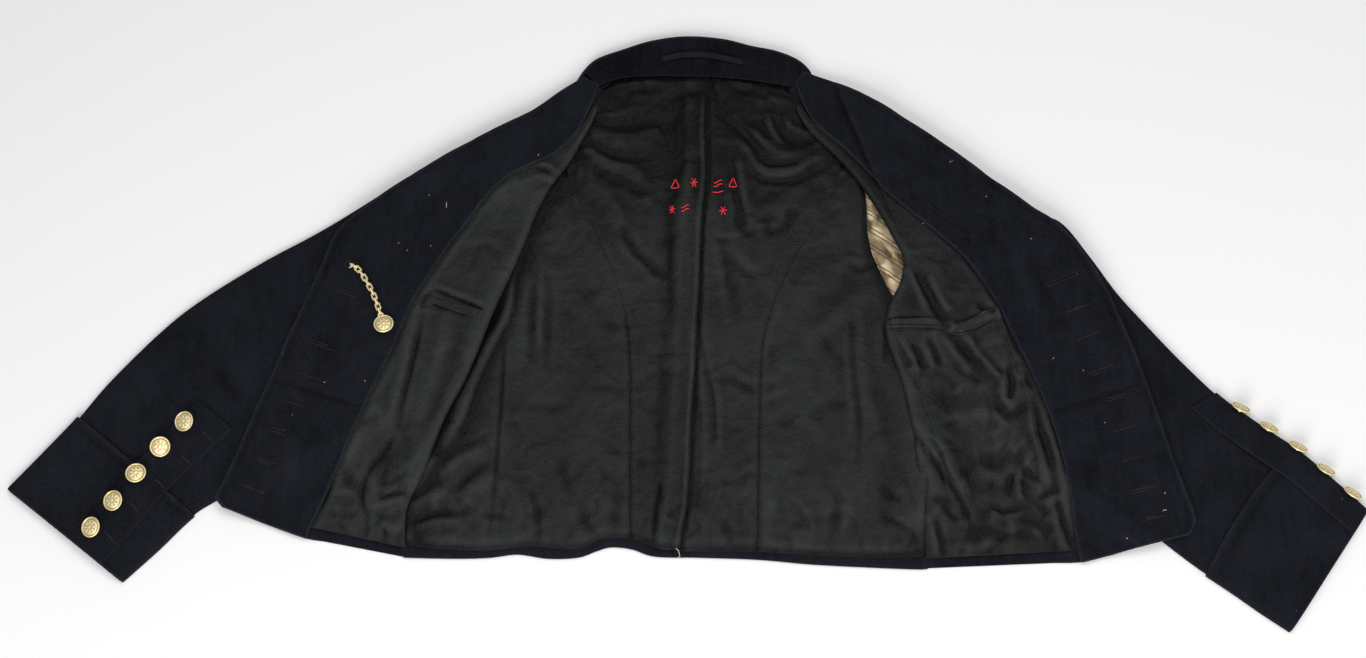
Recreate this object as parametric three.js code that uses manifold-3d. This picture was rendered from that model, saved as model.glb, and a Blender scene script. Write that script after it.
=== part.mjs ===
// A naval parade tunic that lies open on its back, both fronts turned out to show their inner faces.
// Millimetres, +Z up, +X to the right of someone who stands at the hem, +Y towards the collar.
// The floor is z = 0. Left and right are as seen in this view, so "left" is the wearer's right side.

import * as THREE from "three";
import { mergeVertices } from "three/addons/utils/BufferGeometryUtils.js";
import Module from "manifold-3d";

const wasm = await Module();
wasm.setup();

// Walls of cloth, and the clearance that every seam and every layer keeps.
const GAP = 0.3;
const SEAM = 0.9;
const WOOL = 2.4;
const FACING = 2.2;
const LINING = 1.2;
const CUFF = 1.8;
const TAPE = 1.0;

// A sleeve lies as a flattened tube: its height over the floor, and how square its section is.
const SLEEVE_HEIGHT = 8.6;
const SLEEVE_SQUARENESS = 4;
const HEM_INSET = 1.5;

// The wool of a front passes over the sleeve at this height.
const OVER_SLEEVE = 9.2;
const OVER_BACK = WOOL + 0.5;
const CURL_RADIUS = 5;

// The middle of the whole outline on the floor, which becomes the origin.
const CENTRE = { x: 0.9, y: -7.6 };

// Buttons, and the chain that closes the fronts.
const BUTTON_RADIUS = 9.75;
const SHANK_HEIGHT = 3.2;
const FIRST_CUFF_BUTTON = 19;
const CUFF_BUTTON_PITCH = 32.5;
const BUTTON_TILTS = [-6, 5, 3, -4, 7];
const EDGE_BUTTON_LEAN = 62;
const EDGE_BUTTON_HEIGHT = 7.4;
const EDGE_BUTTON_INSET = 1.2;
const WIRE = 1.7;
const LINK_LENGTH = 9.35;
const LINK_WIDTH = 6.1;
const LINK_PITCH = 5.65;
const LINK_ROLL = 15;
const EYE_LENGTH = 6.9;
const EYE_LEAN = 38;
const EYE_REACH = 3;
const EYE_DROP = 2.05;
const FIRST_LINK_REACH = 6;
const SHACKLE_LENGTH = 18.6;
const SHACKLE_SLOPE = 6;
const SHACKLE_DROP = 0.75;
const EYELET_RADIUS = 4;

// Rows run from the neck to the hem: the front edge, the seam of the facing to the lining, and the roll
// where the front folds back over the body. Ridge is the height of the wool at the roll, curl the angle
// in degrees by which the lining turns round it.
const LEFT_FRONT = [
  { edgeX: -97, edgeY: 250, seamX: -88, seamY: 243.5, rollX: -83, rollY: 238, ridge: 3.0, curl: 15 },
  { edgeX: -125, edgeY: 232, seamX: -101, seamY: 213, rollX: -95, rollY: 210, ridge: 3.4, curl: 40 },
  { edgeX: -157, edgeY: 213, seamX: -114, seamY: 188, rollX: -105, rollY: 186, ridge: 4.6, curl: 60 },
  { edgeX: -195, edgeY: 192, seamX: -135, seamY: 167, rollX: -115, rollY: 158, ridge: 6.0, curl: 80 },
  { edgeX: -236, edgeY: 167, seamX: -169, seamY: 149, rollX: -129, rollY: 131, ridge: 8.0, curl: 105 },
  { edgeX: -277, edgeY: 139, seamX: -195, seamY: 125, rollX: -141, rollY: 103, ridge: 9.6, curl: 125 },
  { edgeX: -314, edgeY: 111, seamX: -217, seamY: 92, rollX: -153, rollY: 73, ridge: 10.8, curl: 150 },
  { edgeX: -344, edgeY: 82, seamX: -236, seamY: 64, rollX: -164, rollY: 43, ridge: 11.4, curl: 168 },
  { edgeX: -357, edgeY: 45, seamX: -252, seamY: 36, rollX: -175, rollY: 16, ridge: 11.4, curl: 168 },
  { edgeX: -371, edgeY: 7, seamX: -268, seamY: 5, rollX: -186, rollY: -14, ridge: 11.4, curl: 168 },
  { edgeX: -384, edgeY: -29, seamX: -281, seamY: -32, rollX: -200, rollY: -44, ridge: 11.4, curl: 168 },
  { edgeX: -397, edgeY: -68, seamX: -297, seamY: -71, rollX: -215, rollY: -78, ridge: 11.4, curl: 168 },
  { edgeX: -411, edgeY: -106, seamX: -312, seamY: -109, rollX: -227, rollY: -105, ridge: 11.4, curl: 168 },
  { edgeX: -423, edgeY: -142, seamX: -326, seamY: -146, rollX: -237, rollY: -135, ridge: 11.2, curl: 160 },
  { edgeX: -434, edgeY: -174, seamX: -341, seamY: -185, rollX: -251, rollY: -168, ridge: 10.2, curl: 135 },
  { edgeX: -440, edgeY: -187, seamX: -348, seamY: -203, rollX: -264.6, rollY: -200, ridge: 3.6, curl: 30 },
  { edgeX: -441, edgeY: -193, seamX: -354, seamY: -217, rollX: -264.4, rollY: -236, ridge: 0.2, curl: 8 },
  { edgeX: -435, edgeY: -201, seamX: -357, seamY: -229, rollX: -264.4, rollY: -247, ridge: 0.0, curl: 8 },
];
const RIGHT_FRONT = [
  { edgeX: 131, edgeY: 252, seamX: 113, seamY: 246, rollX: 106, rollY: 240, ridge: 3.0, curl: 15 },
  { edgeX: 166, edgeY: 241, seamX: 124, seamY: 219, rollX: 118, rollY: 215, ridge: 3.4, curl: 40 },
  { edgeX: 196, edgeY: 224, seamX: 138, seamY: 198, rollX: 131, rollY: 194, ridge: 4.4, curl: 60 },
  { edgeX: 226, edgeY: 202, seamX: 161, seamY: 175, rollX: 149, rollY: 172, ridge: 6.0, curl: 80 },
  { edgeX: 255, edgeY: 181, seamX: 184, seamY: 148, rollX: 165, rollY: 146, ridge: 8.0, curl: 105 },
  { edgeX: 284, edgeY: 157, seamX: 204, seamY: 123, rollX: 178, rollY: 121, ridge: 9.6, curl: 125 },
  { edgeX: 313, edgeY: 133, seamX: 230, seamY: 99, rollX: 192, rollY: 95, ridge: 10.8, curl: 130 },
  { edgeX: 345, edgeY: 107, seamX: 257, seamY: 74, rollX: 205, rollY: 70, ridge: 11.4, curl: 130 },
  { edgeX: 368, edgeY: 90, seamX: 274, seamY: 57, rollX: 216, rollY: 50, ridge: 11.4, curl: 130 },
  { edgeX: 390, edgeY: 62, seamX: 290, seamY: 34, rollX: 213, rollY: 27, ridge: 11.4, curl: 140 },
  { edgeX: 410, edgeY: 24, seamX: 304, seamY: 9, rollX: 204, rollY: 3, ridge: 11.4, curl: 160 },
  { edgeX: 425, edgeY: -17, seamX: 316, seamY: -19, rollX: 199, rollY: -25, ridge: 11.4, curl: 168 },
  { edgeX: 437, edgeY: -55, seamX: 329, seamY: -51, rollX: 206, rollY: -53, ridge: 11.4, curl: 168 },
  { edgeX: 447, edgeY: -92, seamX: 341, seamY: -82, rollX: 213, rollY: -76, ridge: 11.4, curl: 168 },
  { edgeX: 456, edgeY: -128, seamX: 352, seamY: -118, rollX: 217, rollY: -99, ridge: 11.2, curl: 160 },
  { edgeX: 465, edgeY: -164, seamX: 360, seamY: -154, rollX: 222, rollY: -130, ridge: 10.6, curl: 145 },
  { edgeX: 474, edgeY: -196, seamX: 366, seamY: -194, rollX: 224, rollY: -167, ridge: 8.6, curl: 110 },
  { edgeX: 477, edgeY: -206, seamX: 368, seamY: -219, rollX: 227.4, rollY: -205, ridge: 3.6, curl: 30 },
  { edgeX: 478, edgeY: -216, seamX: 370, seamY: -240, rollX: 227.2, rollY: -247, ridge: 0.2, curl: 8 },
  { edgeX: 472, edgeY: -228, seamX: 372, seamY: -252, rollX: 227.2, rollY: -258, ridge: 0.0, curl: 8 },
];

// Sections of the sleeves from the armhole to the cuff: the outer edge and the inner edge on the floor.
const LEFT_SLEEVE = [
  { outerX: -190, outerY: 197, innerX: -197, innerY: 0 },
  { outerX: -257, outerY: 160, innerX: -224, innerY: -42 },
  { outerX: -354, outerY: 92, innerX: -268, innerY: -90 },
  { outerX: -419, outerY: 52, innerX: -322, innerY: -120 },
  { outerX: -477, outerY: 11, innerX: -370, innerY: -146 },
  { outerX: -513, outerY: -22, innerX: -402, innerY: -164 },
  { outerX: -557, outerY: -73, innerX: -436, innerY: -187 },
  { outerX: -584, outerY: -111, innerX: -466, innerY: -207 },
  { outerX: -613, outerY: -147, innerX: -497, innerY: -240 },
  { outerX: -642, outerY: -182, innerX: -527, innerY: -270 },
];
const RIGHT_SLEEVE = [
  { outerX: 222, outerY: 190, innerX: 240, innerY: 0 },
  { outerX: 277, outerY: 155, innerX: 254, innerY: -40 },
  { outerX: 345, outerY: 109, innerX: 282, innerY: -82 },
  { outerX: 376, outerY: 95, innerX: 300, innerY: -102 },
  { outerX: 402, outerY: 58, innerX: 318, innerY: -120 },
  { outerX: 426, outerY: 19, innerX: 345, innerY: -143 },
  { outerX: 453, outerY: -16, innerX: 375, innerY: -170 },
  { outerX: 479, outerY: -48, innerX: 405, innerY: -196 },
  { outerX: 512, outerY: -85, innerX: 442, innerY: -226 },
  { outerX: 547, outerY: -118, innerX: 478, innerY: -256 },
  { outerX: 584, outerY: -146, innerX: 512, innerY: -281 },
  { outerX: 613, outerY: -174, innerX: 537, innerY: -300 },
  { outerX: 643, outerY: -205, innerX: 561, innerY: -317 },
];

// Where the deep cuff and the buttoned strip lie on a sleeve. Along counts sections from the armhole,
// across runs from 0 at the outer edge to 1 at the inner edge.
const LEFT_CUFF = { startOuter: 7, startInner: 7 };
const RIGHT_CUFF = { startOuter: 9.9, startInner: 9.3 };
const LEFT_STRIP = { top: 5.2, topNear: 0.47, topFar: 0.7, end: 9, endNear: 0.574, endFar: 0.83 };
const RIGHT_STRIP = { top: 8.05, topNear: 0, topFar: 0.2, end: 12, endNear: 0, endFar: 0.2 };

// The back panel: down the armhole and the side, then along the hem.
const BACK_LEFT_SIDE = [
  { x: -186, y: 196 }, { x: -187, y: 100 }, { x: -189, y: 5 }, { x: -208, y: -38 }, { x: -228, y: -78 },
  { x: -242, y: -105 }, { x: -252, y: -135 }, { x: -262, y: -168 }, { x: -264, y: -205 },
  { x: -264, y: -247 },
];
const BACK_RIGHT_SIDE = [
  { x: 216, y: 199 }, { x: 225, y: 100 }, { x: 228, y: 60 }, { x: 226, y: 20 }, { x: 216, y: -20 },
  { x: 218, y: -50 }, { x: 225, y: -78 }, { x: 231, y: -110 }, { x: 235, y: -167 }, { x: 226.8, y: -212 },
  { x: 226.8, y: -258 },
];
const BACK_TOP = [
  { x: -186, y: 196 }, { x: -140, y: 219 }, { x: -100, y: 243 }, { x: -72, y: 255 }, { x: -36, y: 261 },
  { x: 0, y: 261.5 }, { x: 38, y: 260 }, { x: 70, y: 256 }, { x: 110, y: 247 }, { x: 165, y: 227 },
  { x: 216, y: 199 },
];
const BACK_HEM = [
  { x: -264, y: -247 }, { x: -213, y: -248 }, { x: -183, y: -247 }, { x: -157, y: -244 },
  { x: -129, y: -248 }, { x: -101, y: -247 }, { x: -84, y: -241 }, { x: -70, y: -237 }, { x: -50, y: -239 },
  { x: -28, y: -246 }, { x: 12, y: -247 }, { x: 68, y: -249 }, { x: 125, y: -254 }, { x: 209, y: -258 },
  { x: 226.8, y: -258 },
];

// The lining of the back: the pleat down its middle, its seams to the sides, its neck and its hem.
const PLEAT_UNDERLAP = 14;
const PLEAT_FULLNESS = 1.8;
const PLEAT = [
  { x: 24, y: 259.5 }, { x: 20, y: 199 }, { x: 21, y: 147 }, { x: 16, y: 90 }, { x: 13, y: 10 },
  { x: 10, y: -55 }, { x: 6, y: -119 }, { x: 3, y: -190 }, { x: -3, y: -225 }, { x: -5, y: -241 },
];
const LEFT_LINING_SEAM = [
  { x: -82, y: 245 }, { x: -91, y: 229 }, { x: -104, y: 207 }, { x: -114, y: 184 }, { x: -118, y: 152 },
  { x: -108, y: 124 }, { x: -94, y: 96 }, { x: -80, y: 64 }, { x: -67, y: 30 }, { x: -57, y: -10 },
  { x: -53, y: -60 }, { x: -52, y: -140 }, { x: -51, y: -229 },
];
const RIGHT_LINING_SEAM = [
  { x: 105, y: 245 }, { x: 114, y: 230 }, { x: 125, y: 212 }, { x: 140, y: 190 }, { x: 157, y: 166 },
  { x: 150, y: 134 }, { x: 134, y: 100 }, { x: 115, y: 68 }, { x: 96, y: 30 }, { x: 82, y: -8 },
  { x: 74, y: -50 }, { x: 70, y: -140 }, { x: 67, y: -242 },
];
const LEFT_TUCK = [
  { x: -126, y: 152 }, { x: -136, y: 130 }, { x: -150, y: 101 }, { x: -161, y: 73 }, { x: -173, y: 43 },
  { x: -183, y: 16 }, { x: -193, y: -12 }, { x: -207, y: -42 }, { x: -223, y: -78 }, { x: -237, y: -105 },
  { x: -247, y: -135 }, { x: -259, y: -168 }, { x: -262.4, y: -205 }, { x: -262.4, y: -236 },
];
const RIGHT_TUCK = [
  { x: 168, y: 160 }, { x: 178, y: 134 }, { x: 181, y: 114 }, { x: 181, y: 78 }, { x: 186, y: 52 },
  { x: 195, y: 32 }, { x: 205, y: 10 }, { x: 208, y: -20 }, { x: 214, y: -52 }, { x: 222, y: -78 },
  { x: 228, y: -110 }, { x: 232, y: -160 }, { x: 225.4, y: -205 }, { x: 225.4, y: -247 },
];
const LEFT_NECK = [
  { x: -82, y: 245 }, { x: -70, y: 254 }, { x: -40, y: 260.5 }, { x: -8, y: 261 }, { x: 24, y: 259.5 },
];
const RIGHT_NECK = [
  { x: 10, y: 260 }, { x: 30, y: 260 }, { x: 64, y: 256.5 }, { x: 88, y: 251 }, { x: 105, y: 245 },
];
const RIGHT_BACK_HEM = [{ x: -19, y: -241 }, { x: 14, y: -242 }, { x: 67, y: -242 }];
const RIGHT_SIDE_HEM = [{ x: 67, y: -242 }, { x: 108, y: -245 }, { x: 170, y: -248 }, { x: 225.4, y: -247 }];
const LEFT_BACK_HEM = [
  { x: -51, y: -229 }, { x: -38, y: -234 }, { x: -22, y: -241 }, { x: -5, y: -241 },
];
const LEFT_SIDE_HEM = [
  { x: -262.4, y: -236 }, { x: -225, y: -240 }, { x: -184, y: -241 }, { x: -146, y: -237 },
  { x: -102, y: -240 }, { x: -80, y: -230 }, { x: -51, y: -229 },
];

// The striped lining of the right sleeve, which shows through the slit between the two body linings.
const SLEEVE_SLIT = [
  { x: 182.5, y: 114 }, { x: 182.5, y: 78 }, { x: 187.5, y: 52 }, { x: 196.5, y: 32 }, { x: 206.5, y: 10 },
];
const SLEEVE_SLIT_FAR = [
  { x: 197, y: 114 }, { x: 209, y: 88 }, { x: 222, y: 60 }, { x: 224, y: 32 }, { x: 218, y: 10 },
];

// The largest folds of the loose lining: each is a soft ridge along an arc.
const FOLDS = [
  { fromX: -94, fromY: 208, viaX: -61, viaY: 186, toX: -22, toY: 210, width: 9, rise: 4 },
  { fromX: -92, fromY: 178, viaX: -76, viaY: 150, toX: -30, toY: 139, width: 9, rise: 3.5 },
  { fromX: -94, fromY: 135, viaX: -66, viaY: 98, toX: -26, toY: 88, width: 10, rise: 4 },
  { fromX: -80, fromY: 60, viaX: -50, viaY: 50, toX: -18, toY: 12, width: 11, rise: 3.5 },
  { fromX: -138, fromY: 43, viaX: -137, viaY: 0, toX: -144, toY: -50, width: 10, rise: 3 },
  { fromX: 50, fromY: 190, viaX: 72, viaY: 140, toX: 140, toY: 168, width: 9, rise: 4.5 },
  { fromX: 48, fromY: 220, viaX: 100, viaY: 160, toX: 138, toY: 196, width: 8, rise: 4 },
  { fromX: 54, fromY: 104, viaX: 82, viaY: 72, toX: 116, toY: 112, width: 10, rise: 3.5 },
  { fromX: 38, fromY: 70, viaX: 62, viaY: 32, toX: 98, toY: 62, width: 11, rise: 3.5 },
  { fromX: 60, fromY: -80, viaX: 110, viaY: -40, toX: 150, toY: 20, width: 13, rise: 3 },
];
const FOLD_STEPS = 12;

// The collar: stations from its left end to its right, on the neck seam and on the roll line.
const COLLAR = [
  { seamX: -89, seamY: 247, rollX: -101, rollY: 262 },
  { seamX: -79, seamY: 252, rollX: -89, rollY: 274.5 },
  { seamX: -62, seamY: 256.5, rollX: -63, rollY: 285.5 },
  { seamX: -35, seamY: 258.5, rollX: -34, rollY: 295.5 },
  { seamX: 0, seamY: 258.5, rollX: 1, rollY: 300.5 },
  { seamX: 38, seamY: 257, rollX: 39, rollY: 297.5 },
  { seamX: 66, seamY: 254, rollX: 68, rollY: 289.5 },
  { seamX: 90, seamY: 250, rollX: 94, rollY: 283.5 },
  { seamX: 106, seamY: 247.5, rollX: 115, rollY: 273.5 },
  { seamX: 117, seamY: 249.5, rollX: 128, rollY: 262 },
];
const STAND_HEIGHT_AT_SEAM = 8.4;
const STAND_HEIGHT_AT_ROLL = 8.6;
const STAND_WALL = 2.4;
const ROLL_RADIUS = 4.3;
const FALL_SHOWN = 24;
const HANGER = [
  { x: -23, y: 276 }, { x: -2, y: 280 }, { x: 18, y: 280 }, { x: 38, y: 277 }, { x: 59, y: 272 },
];
const HANGER_WIDTH = 5.4;

// The chain on the left facing, from the eyelet to its button.
const CHAIN = [
  { x: -331, y: 45 }, { x: -321, y: 38.5 }, { x: -311, y: 24 }, { x: -302, y: 6 }, { x: -292.6, y: -20.8 },
];
const CHAIN_LINKS = 11;

const navyWool = finish(0x15161f, 0.95, 0);
const blackSateen = finish(0x1d201f, 0.6, 0);
const stripedCotton = finish(0xd8cbb0, 0.85, 0);
const blackTape = finish(0x0c0c0e, 0.8, 0);
const gilt = finish(0xc9a34e, 0.3, 1);

const tunic = new THREE.Group();

/** A plain finish: colour, roughness and metalness. */
function finish(color, roughness, metalness) {
  return new THREE.MeshStandardMaterial({ color, roughness, metalness });
}

/** Adds a closed geometry to the tunic as a named piece. */
function addPiece(name, geometry, material) {
  const mesh = new THREE.Mesh(geometry, material);
  mesh.name = name;
  tunic.add(mesh);
  return mesh;
}

/** A geometry from points and faces, turned so that its faces point outwards. */
function closedGeometry(points, faces) {
  let volume = 0;
  for (let i = 0; i < faces.length; i += 3) {
    const [a, b, c] = [points[faces[i]], points[faces[i + 1]], points[faces[i + 2]]];
    volume += a.dot(new THREE.Vector3().crossVectors(b, c));
  }
  const geometry = new THREE.BufferGeometry().setFromPoints(points);
  geometry.setIndex(volume < 0 ? faces.toReversed() : faces);
  return geometry;
}

/** A wall of cloth between two grids of points with the same rows and columns. */
function wall(outer, inner) {
  const rows = outer.length;
  const columns = outer[0].length;
  const at = (side, row, column) => (side * rows + row) * columns + column;
  const faces = [];
  const quad = (a, b, c, d) => faces.push(a, b, c, a, c, d);
  for (let r = 0; r < rows - 1; r++) {
    for (let c = 0; c < columns - 1; c++) {
      quad(at(0, r, c), at(0, r + 1, c), at(0, r + 1, c + 1), at(0, r, c + 1));
      quad(at(1, r, c), at(1, r, c + 1), at(1, r + 1, c + 1), at(1, r + 1, c));
    }
    quad(at(0, r + 1, 0), at(0, r, 0), at(1, r, 0), at(1, r + 1, 0));
    quad(at(0, r, columns - 1), at(0, r + 1, columns - 1), at(1, r + 1, columns - 1), at(1, r, columns - 1));
  }
  for (let c = 0; c < columns - 1; c++) {
    quad(at(0, 0, c), at(0, 0, c + 1), at(1, 0, c + 1), at(1, 0, c));
    quad(at(0, rows - 1, c + 1), at(0, rows - 1, c), at(1, rows - 1, c), at(1, rows - 1, c + 1));
  }
  return closedGeometry([...outer.flat(), ...inner.flat()], faces);
}

/** A wall whose upper face follows a grid of points and whose lower face is straight below it. */
function layer(grid, thickness) {
  return wall(grid, grid.map((row) => row.map((p) => new THREE.Vector3(p.x, p.y, p.z - thickness))));
}

/** The same grid of points, moved up. */
function raised(grid, rise) {
  return grid.map((row) => row.map((p) => new THREE.Vector3(p.x, p.y, p.z + rise)));
}

/** Evenly spaced numbers from first to last. */
function steps(first, last, count) {
  return Array.from({ length: count + 1 }, (_, i) => first + ((last - first) * i) / count);
}

/** A smooth line through table rows, by length from 0 to 1. */
function line(rows) {
  const curve = new THREE.SplineCurve(rows.map(({ x, y }) => new THREE.Vector2(x, y)));
  return (s) => curve.getPointAt(s);
}

/** The stretch of a line below a height, moved sideways. */
function below(curve, y, shift) {
  const start = steps(0, 1, 400).find((s) => curve(s).y <= y);
  return (s) => curve(THREE.MathUtils.lerp(start, 1, s)).add(new THREE.Vector2(shift, 0));
}

/** A value between the rows of a table, which stand at 0, 1, 2 and so on. */
function between(rows, column, at) {
  const row = Math.min(Math.floor(at), rows.length - 2);
  return THREE.MathUtils.lerp(rows[row][column], rows[row + 1][column], at - row);
}

/** A four-sided panel: each point blends the facing pairs of sides, less the blend of the corners. */
function panel({ top, bottom, left, right }, columns, rows, height) {
  const mix = (a, b, s) => a.clone().lerp(b, s);
  const corners = (u, v) => mix(mix(left(0), right(0), u), mix(left(1), right(1), u), v);
  return steps(0, 1, rows).map((v) =>
    steps(0, 1, columns).map((u) => {
      const p = mix(top(u), bottom(u), v).add(mix(left(v), right(v), u)).sub(corners(u, v));
      return new THREE.Vector3(p.x, p.y, height(p.x, p.y, u, v));
    }),
  );
}

/** The point of a fold's arc at s, from 0 to 1. */
function arcPoint({ fromX, fromY, viaX, viaY, toX, toY }, s) {
  const [a, b, c] = [(1 - s) ** 2, 2 * s * (1 - s), s ** 2];
  return new THREE.Vector2(a * fromX + b * viaX + c * toX, a * fromY + b * viaY + c * toY);
}

/** How far the folds lift the loose lining at a place: the highest of the soft ridges. */
function foldRise(x, y) {
  const place = new THREE.Vector2(x, y);
  let highest = 0;
  for (const fold of FOLDS) {
    for (const s of steps(0, 1, FOLD_STEPS)) {
      const away = arcPoint(fold, s).distanceTo(place) / fold.width;
      const taper = 1 - (2 * s - 1) ** 4;
      highest = Math.max(highest, fold.rise * taper * Math.exp(-away * away));
    }
  }
  return highest;
}

/** A point on the domed upper face of a sleeve, moved out by lift. */
function sleevePoint(sections, along, across, lift) {
  const outer = new THREE.Vector2(between(sections, "outerX", along), between(sections, "outerY", along));
  const inner = new THREE.Vector2(between(sections, "innerX", along), between(sections, "innerY", along));
  const middle = outer.clone().lerp(inner, 0.5);
  const half = outer.distanceTo(inner) / 2;
  const side = 2 * across - 1;
  const p = middle.add(inner.sub(outer).setLength(side * (half + lift)));
  const drop = Math.max(0, 1 - Math.abs(side) ** SLEEVE_SQUARENESS);
  return new THREE.Vector3(p.x, p.y, (SLEEVE_HEIGHT + lift) * drop ** (1 / SLEEVE_SQUARENESS));
}

/** Places across a sleeve that share out its curve evenly, close together at the two edges. */
function acrossSleeve(count, first = 0, last = 1) {
  const angleOf = (across) => {
    const side = 2 * across - 1;
    return Math.acos(THREE.MathUtils.clamp(side * Math.abs(side), -1, 1));
  };
  return steps(angleOf(first), angleOf(last), count).map((angle) => {
    const c = Math.cos(angle);
    return (1 + Math.sign(c) * Math.sqrt(Math.abs(c))) / 2;
  });
}

/** How far a point lies outside the inner edge of a sleeve, on the side of the hem. */
function outsideSleeve(sections, x, y) {
  const side = Math.sign(sections[0].innerX);
  let nearest = Infinity;
  let signed = 0;
  for (let i = 0; i < sections.length - 1; i++) {
    const start = new THREE.Vector2(sections[i].innerX, sections[i].innerY);
    const step = new THREE.Vector2(sections[i + 1].innerX, sections[i + 1].innerY).sub(start);
    const reach = new THREE.Vector2(x, y).sub(start);
    const s = THREE.MathUtils.clamp(reach.dot(step) / step.lengthSq(), 0, 1);
    const distance = reach.distanceTo(step.clone().multiplyScalar(s));
    if (distance < nearest) {
      nearest = distance;
      signed = -side * Math.sign(step.cross(reach)) * distance;
    }
  }
  return signed;
}

/** The height of a front's wool over what it lies on: the sleeve, the back, or the roll's own ridge. */
function frontHeight(sections, x, y, ridge, fromRoll) {
  const side = Math.sign(sections[0].innerX);
  const { smoothstep } = THREE.MathUtils;
  const armhole = side < 0 ? smoothstep(-x, 85, 188) : smoothstep(x, 115, 220);
  const support = armhole * (1 - smoothstep(outsideSleeve(sections, x, y), 8, 50));
  const onSleeve = OVER_SLEEVE * support;
  const atRoll = Math.max(0, ridge - onSleeve) * (1 - smoothstep(fromRoll, 0, 55));
  const onBack = OVER_BACK * (1 - smoothstep(side * x, 190, 235));
  return Math.hypot(onSleeve + atRoll, onBack);
}

/** The grid of a front's wool: rows down the table, columns from the edge to the seam and on to the roll. */
function frontGrid(rows, sections) {
  const edgeColumns = 4;
  const liningColumns = 4;
  return rows.map((row) => {
    const edge = new THREE.Vector2(row.edgeX, row.edgeY);
    const seam = new THREE.Vector2(row.seamX, row.seamY);
    const roll = new THREE.Vector2(row.rollX, row.rollY);
    const onFacing = steps(0, 1, edgeColumns).map((s) => edge.clone().lerp(seam, s));
    const onLining = steps(0, 1, liningColumns).slice(1).map((s) => seam.clone().lerp(roll, s));
    return [...onFacing, ...onLining].map(({ x, y }) => {
      const fromRoll = Math.hypot(x - roll.x, y - roll.y);
      return new THREE.Vector3(x, y, frontHeight(sections, x, y, row.ridge, fromRoll));
    });
  });
}

/** The lining of a front: its points on the wool, moved out, and then the turn round the roll. */
function frontLining(grid, rows, side) {
  const turns = 4;
  const face = (lift, radius) =>
    grid.map((points, i) => {
      const flat = points.map((p) => new THREE.Vector3(p.x, p.y, p.z + lift));
      const roll = flat.at(-1);
      const before = points.at(-2);
      const away = new THREE.Vector2(roll.x - before.x, roll.y - before.y).normalize();
      const curl = THREE.MathUtils.degToRad(rows[i].curl);
      const turn = steps(0, curl, turns).slice(1).map((angle) => {
        const out = radius * Math.sin(angle);
        return new THREE.Vector3(
          roll.x + away.x * out,
          roll.y + away.y * out,
          roll.z - radius * (1 - Math.cos(angle)),
        );
      });
      return [...flat, ...turn];
    });
  const bottom = WOOL + GAP;
  return wall(face(bottom + LINING, CURL_RADIUS), face(bottom, CURL_RADIUS - LINING));
}

/** A round hole through a piece, cut straight down. */
function withHole(geometry, x, y, radius) {
  const sides = 12;
  const tall = 60;
  const drill = new THREE.CylinderGeometry(radius, radius, tall, sides);
  drill.rotateX(Math.PI / 2).translate(x, y, 0);
  return geometryOf(solidOf(geometry).subtract(solidOf(drill)));
}

/** A closed geometry as a solid that can be cut. */
function solidOf(geometry) {
  const bare = geometry.clone();
  bare.deleteAttribute("normal");
  bare.deleteAttribute("uv");
  const merged = mergeVertices(bare, 1e-4);
  const vertProperties = new Float32Array(merged.attributes.position.array);
  const triVerts = new Uint32Array(merged.index.array);
  return new wasm.Manifold(new wasm.Mesh({ numProp: 3, vertProperties, triVerts }));
}

/** The geometry of a cut solid. */
function geometryOf(solid) {
  const mesh = solid.getMesh();
  const geometry = new THREE.BufferGeometry();
  geometry.setAttribute("position", new THREE.BufferAttribute(mesh.vertProperties, mesh.numProp));
  return geometry.setIndex(new THREE.BufferAttribute(mesh.triVerts, 1));
}

/** The back: one flat panel of wool on the floor. */
function addBack() {
  const sides = {
    top: line(BACK_TOP),
    bottom: line(BACK_HEM),
    left: line(BACK_LEFT_SIDE),
    right: line(BACK_RIGHT_SIDE),
  };
  addPiece("back", layer(panel(sides, 14, 12, () => WOOL), WOOL), navyWool);
}

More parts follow.
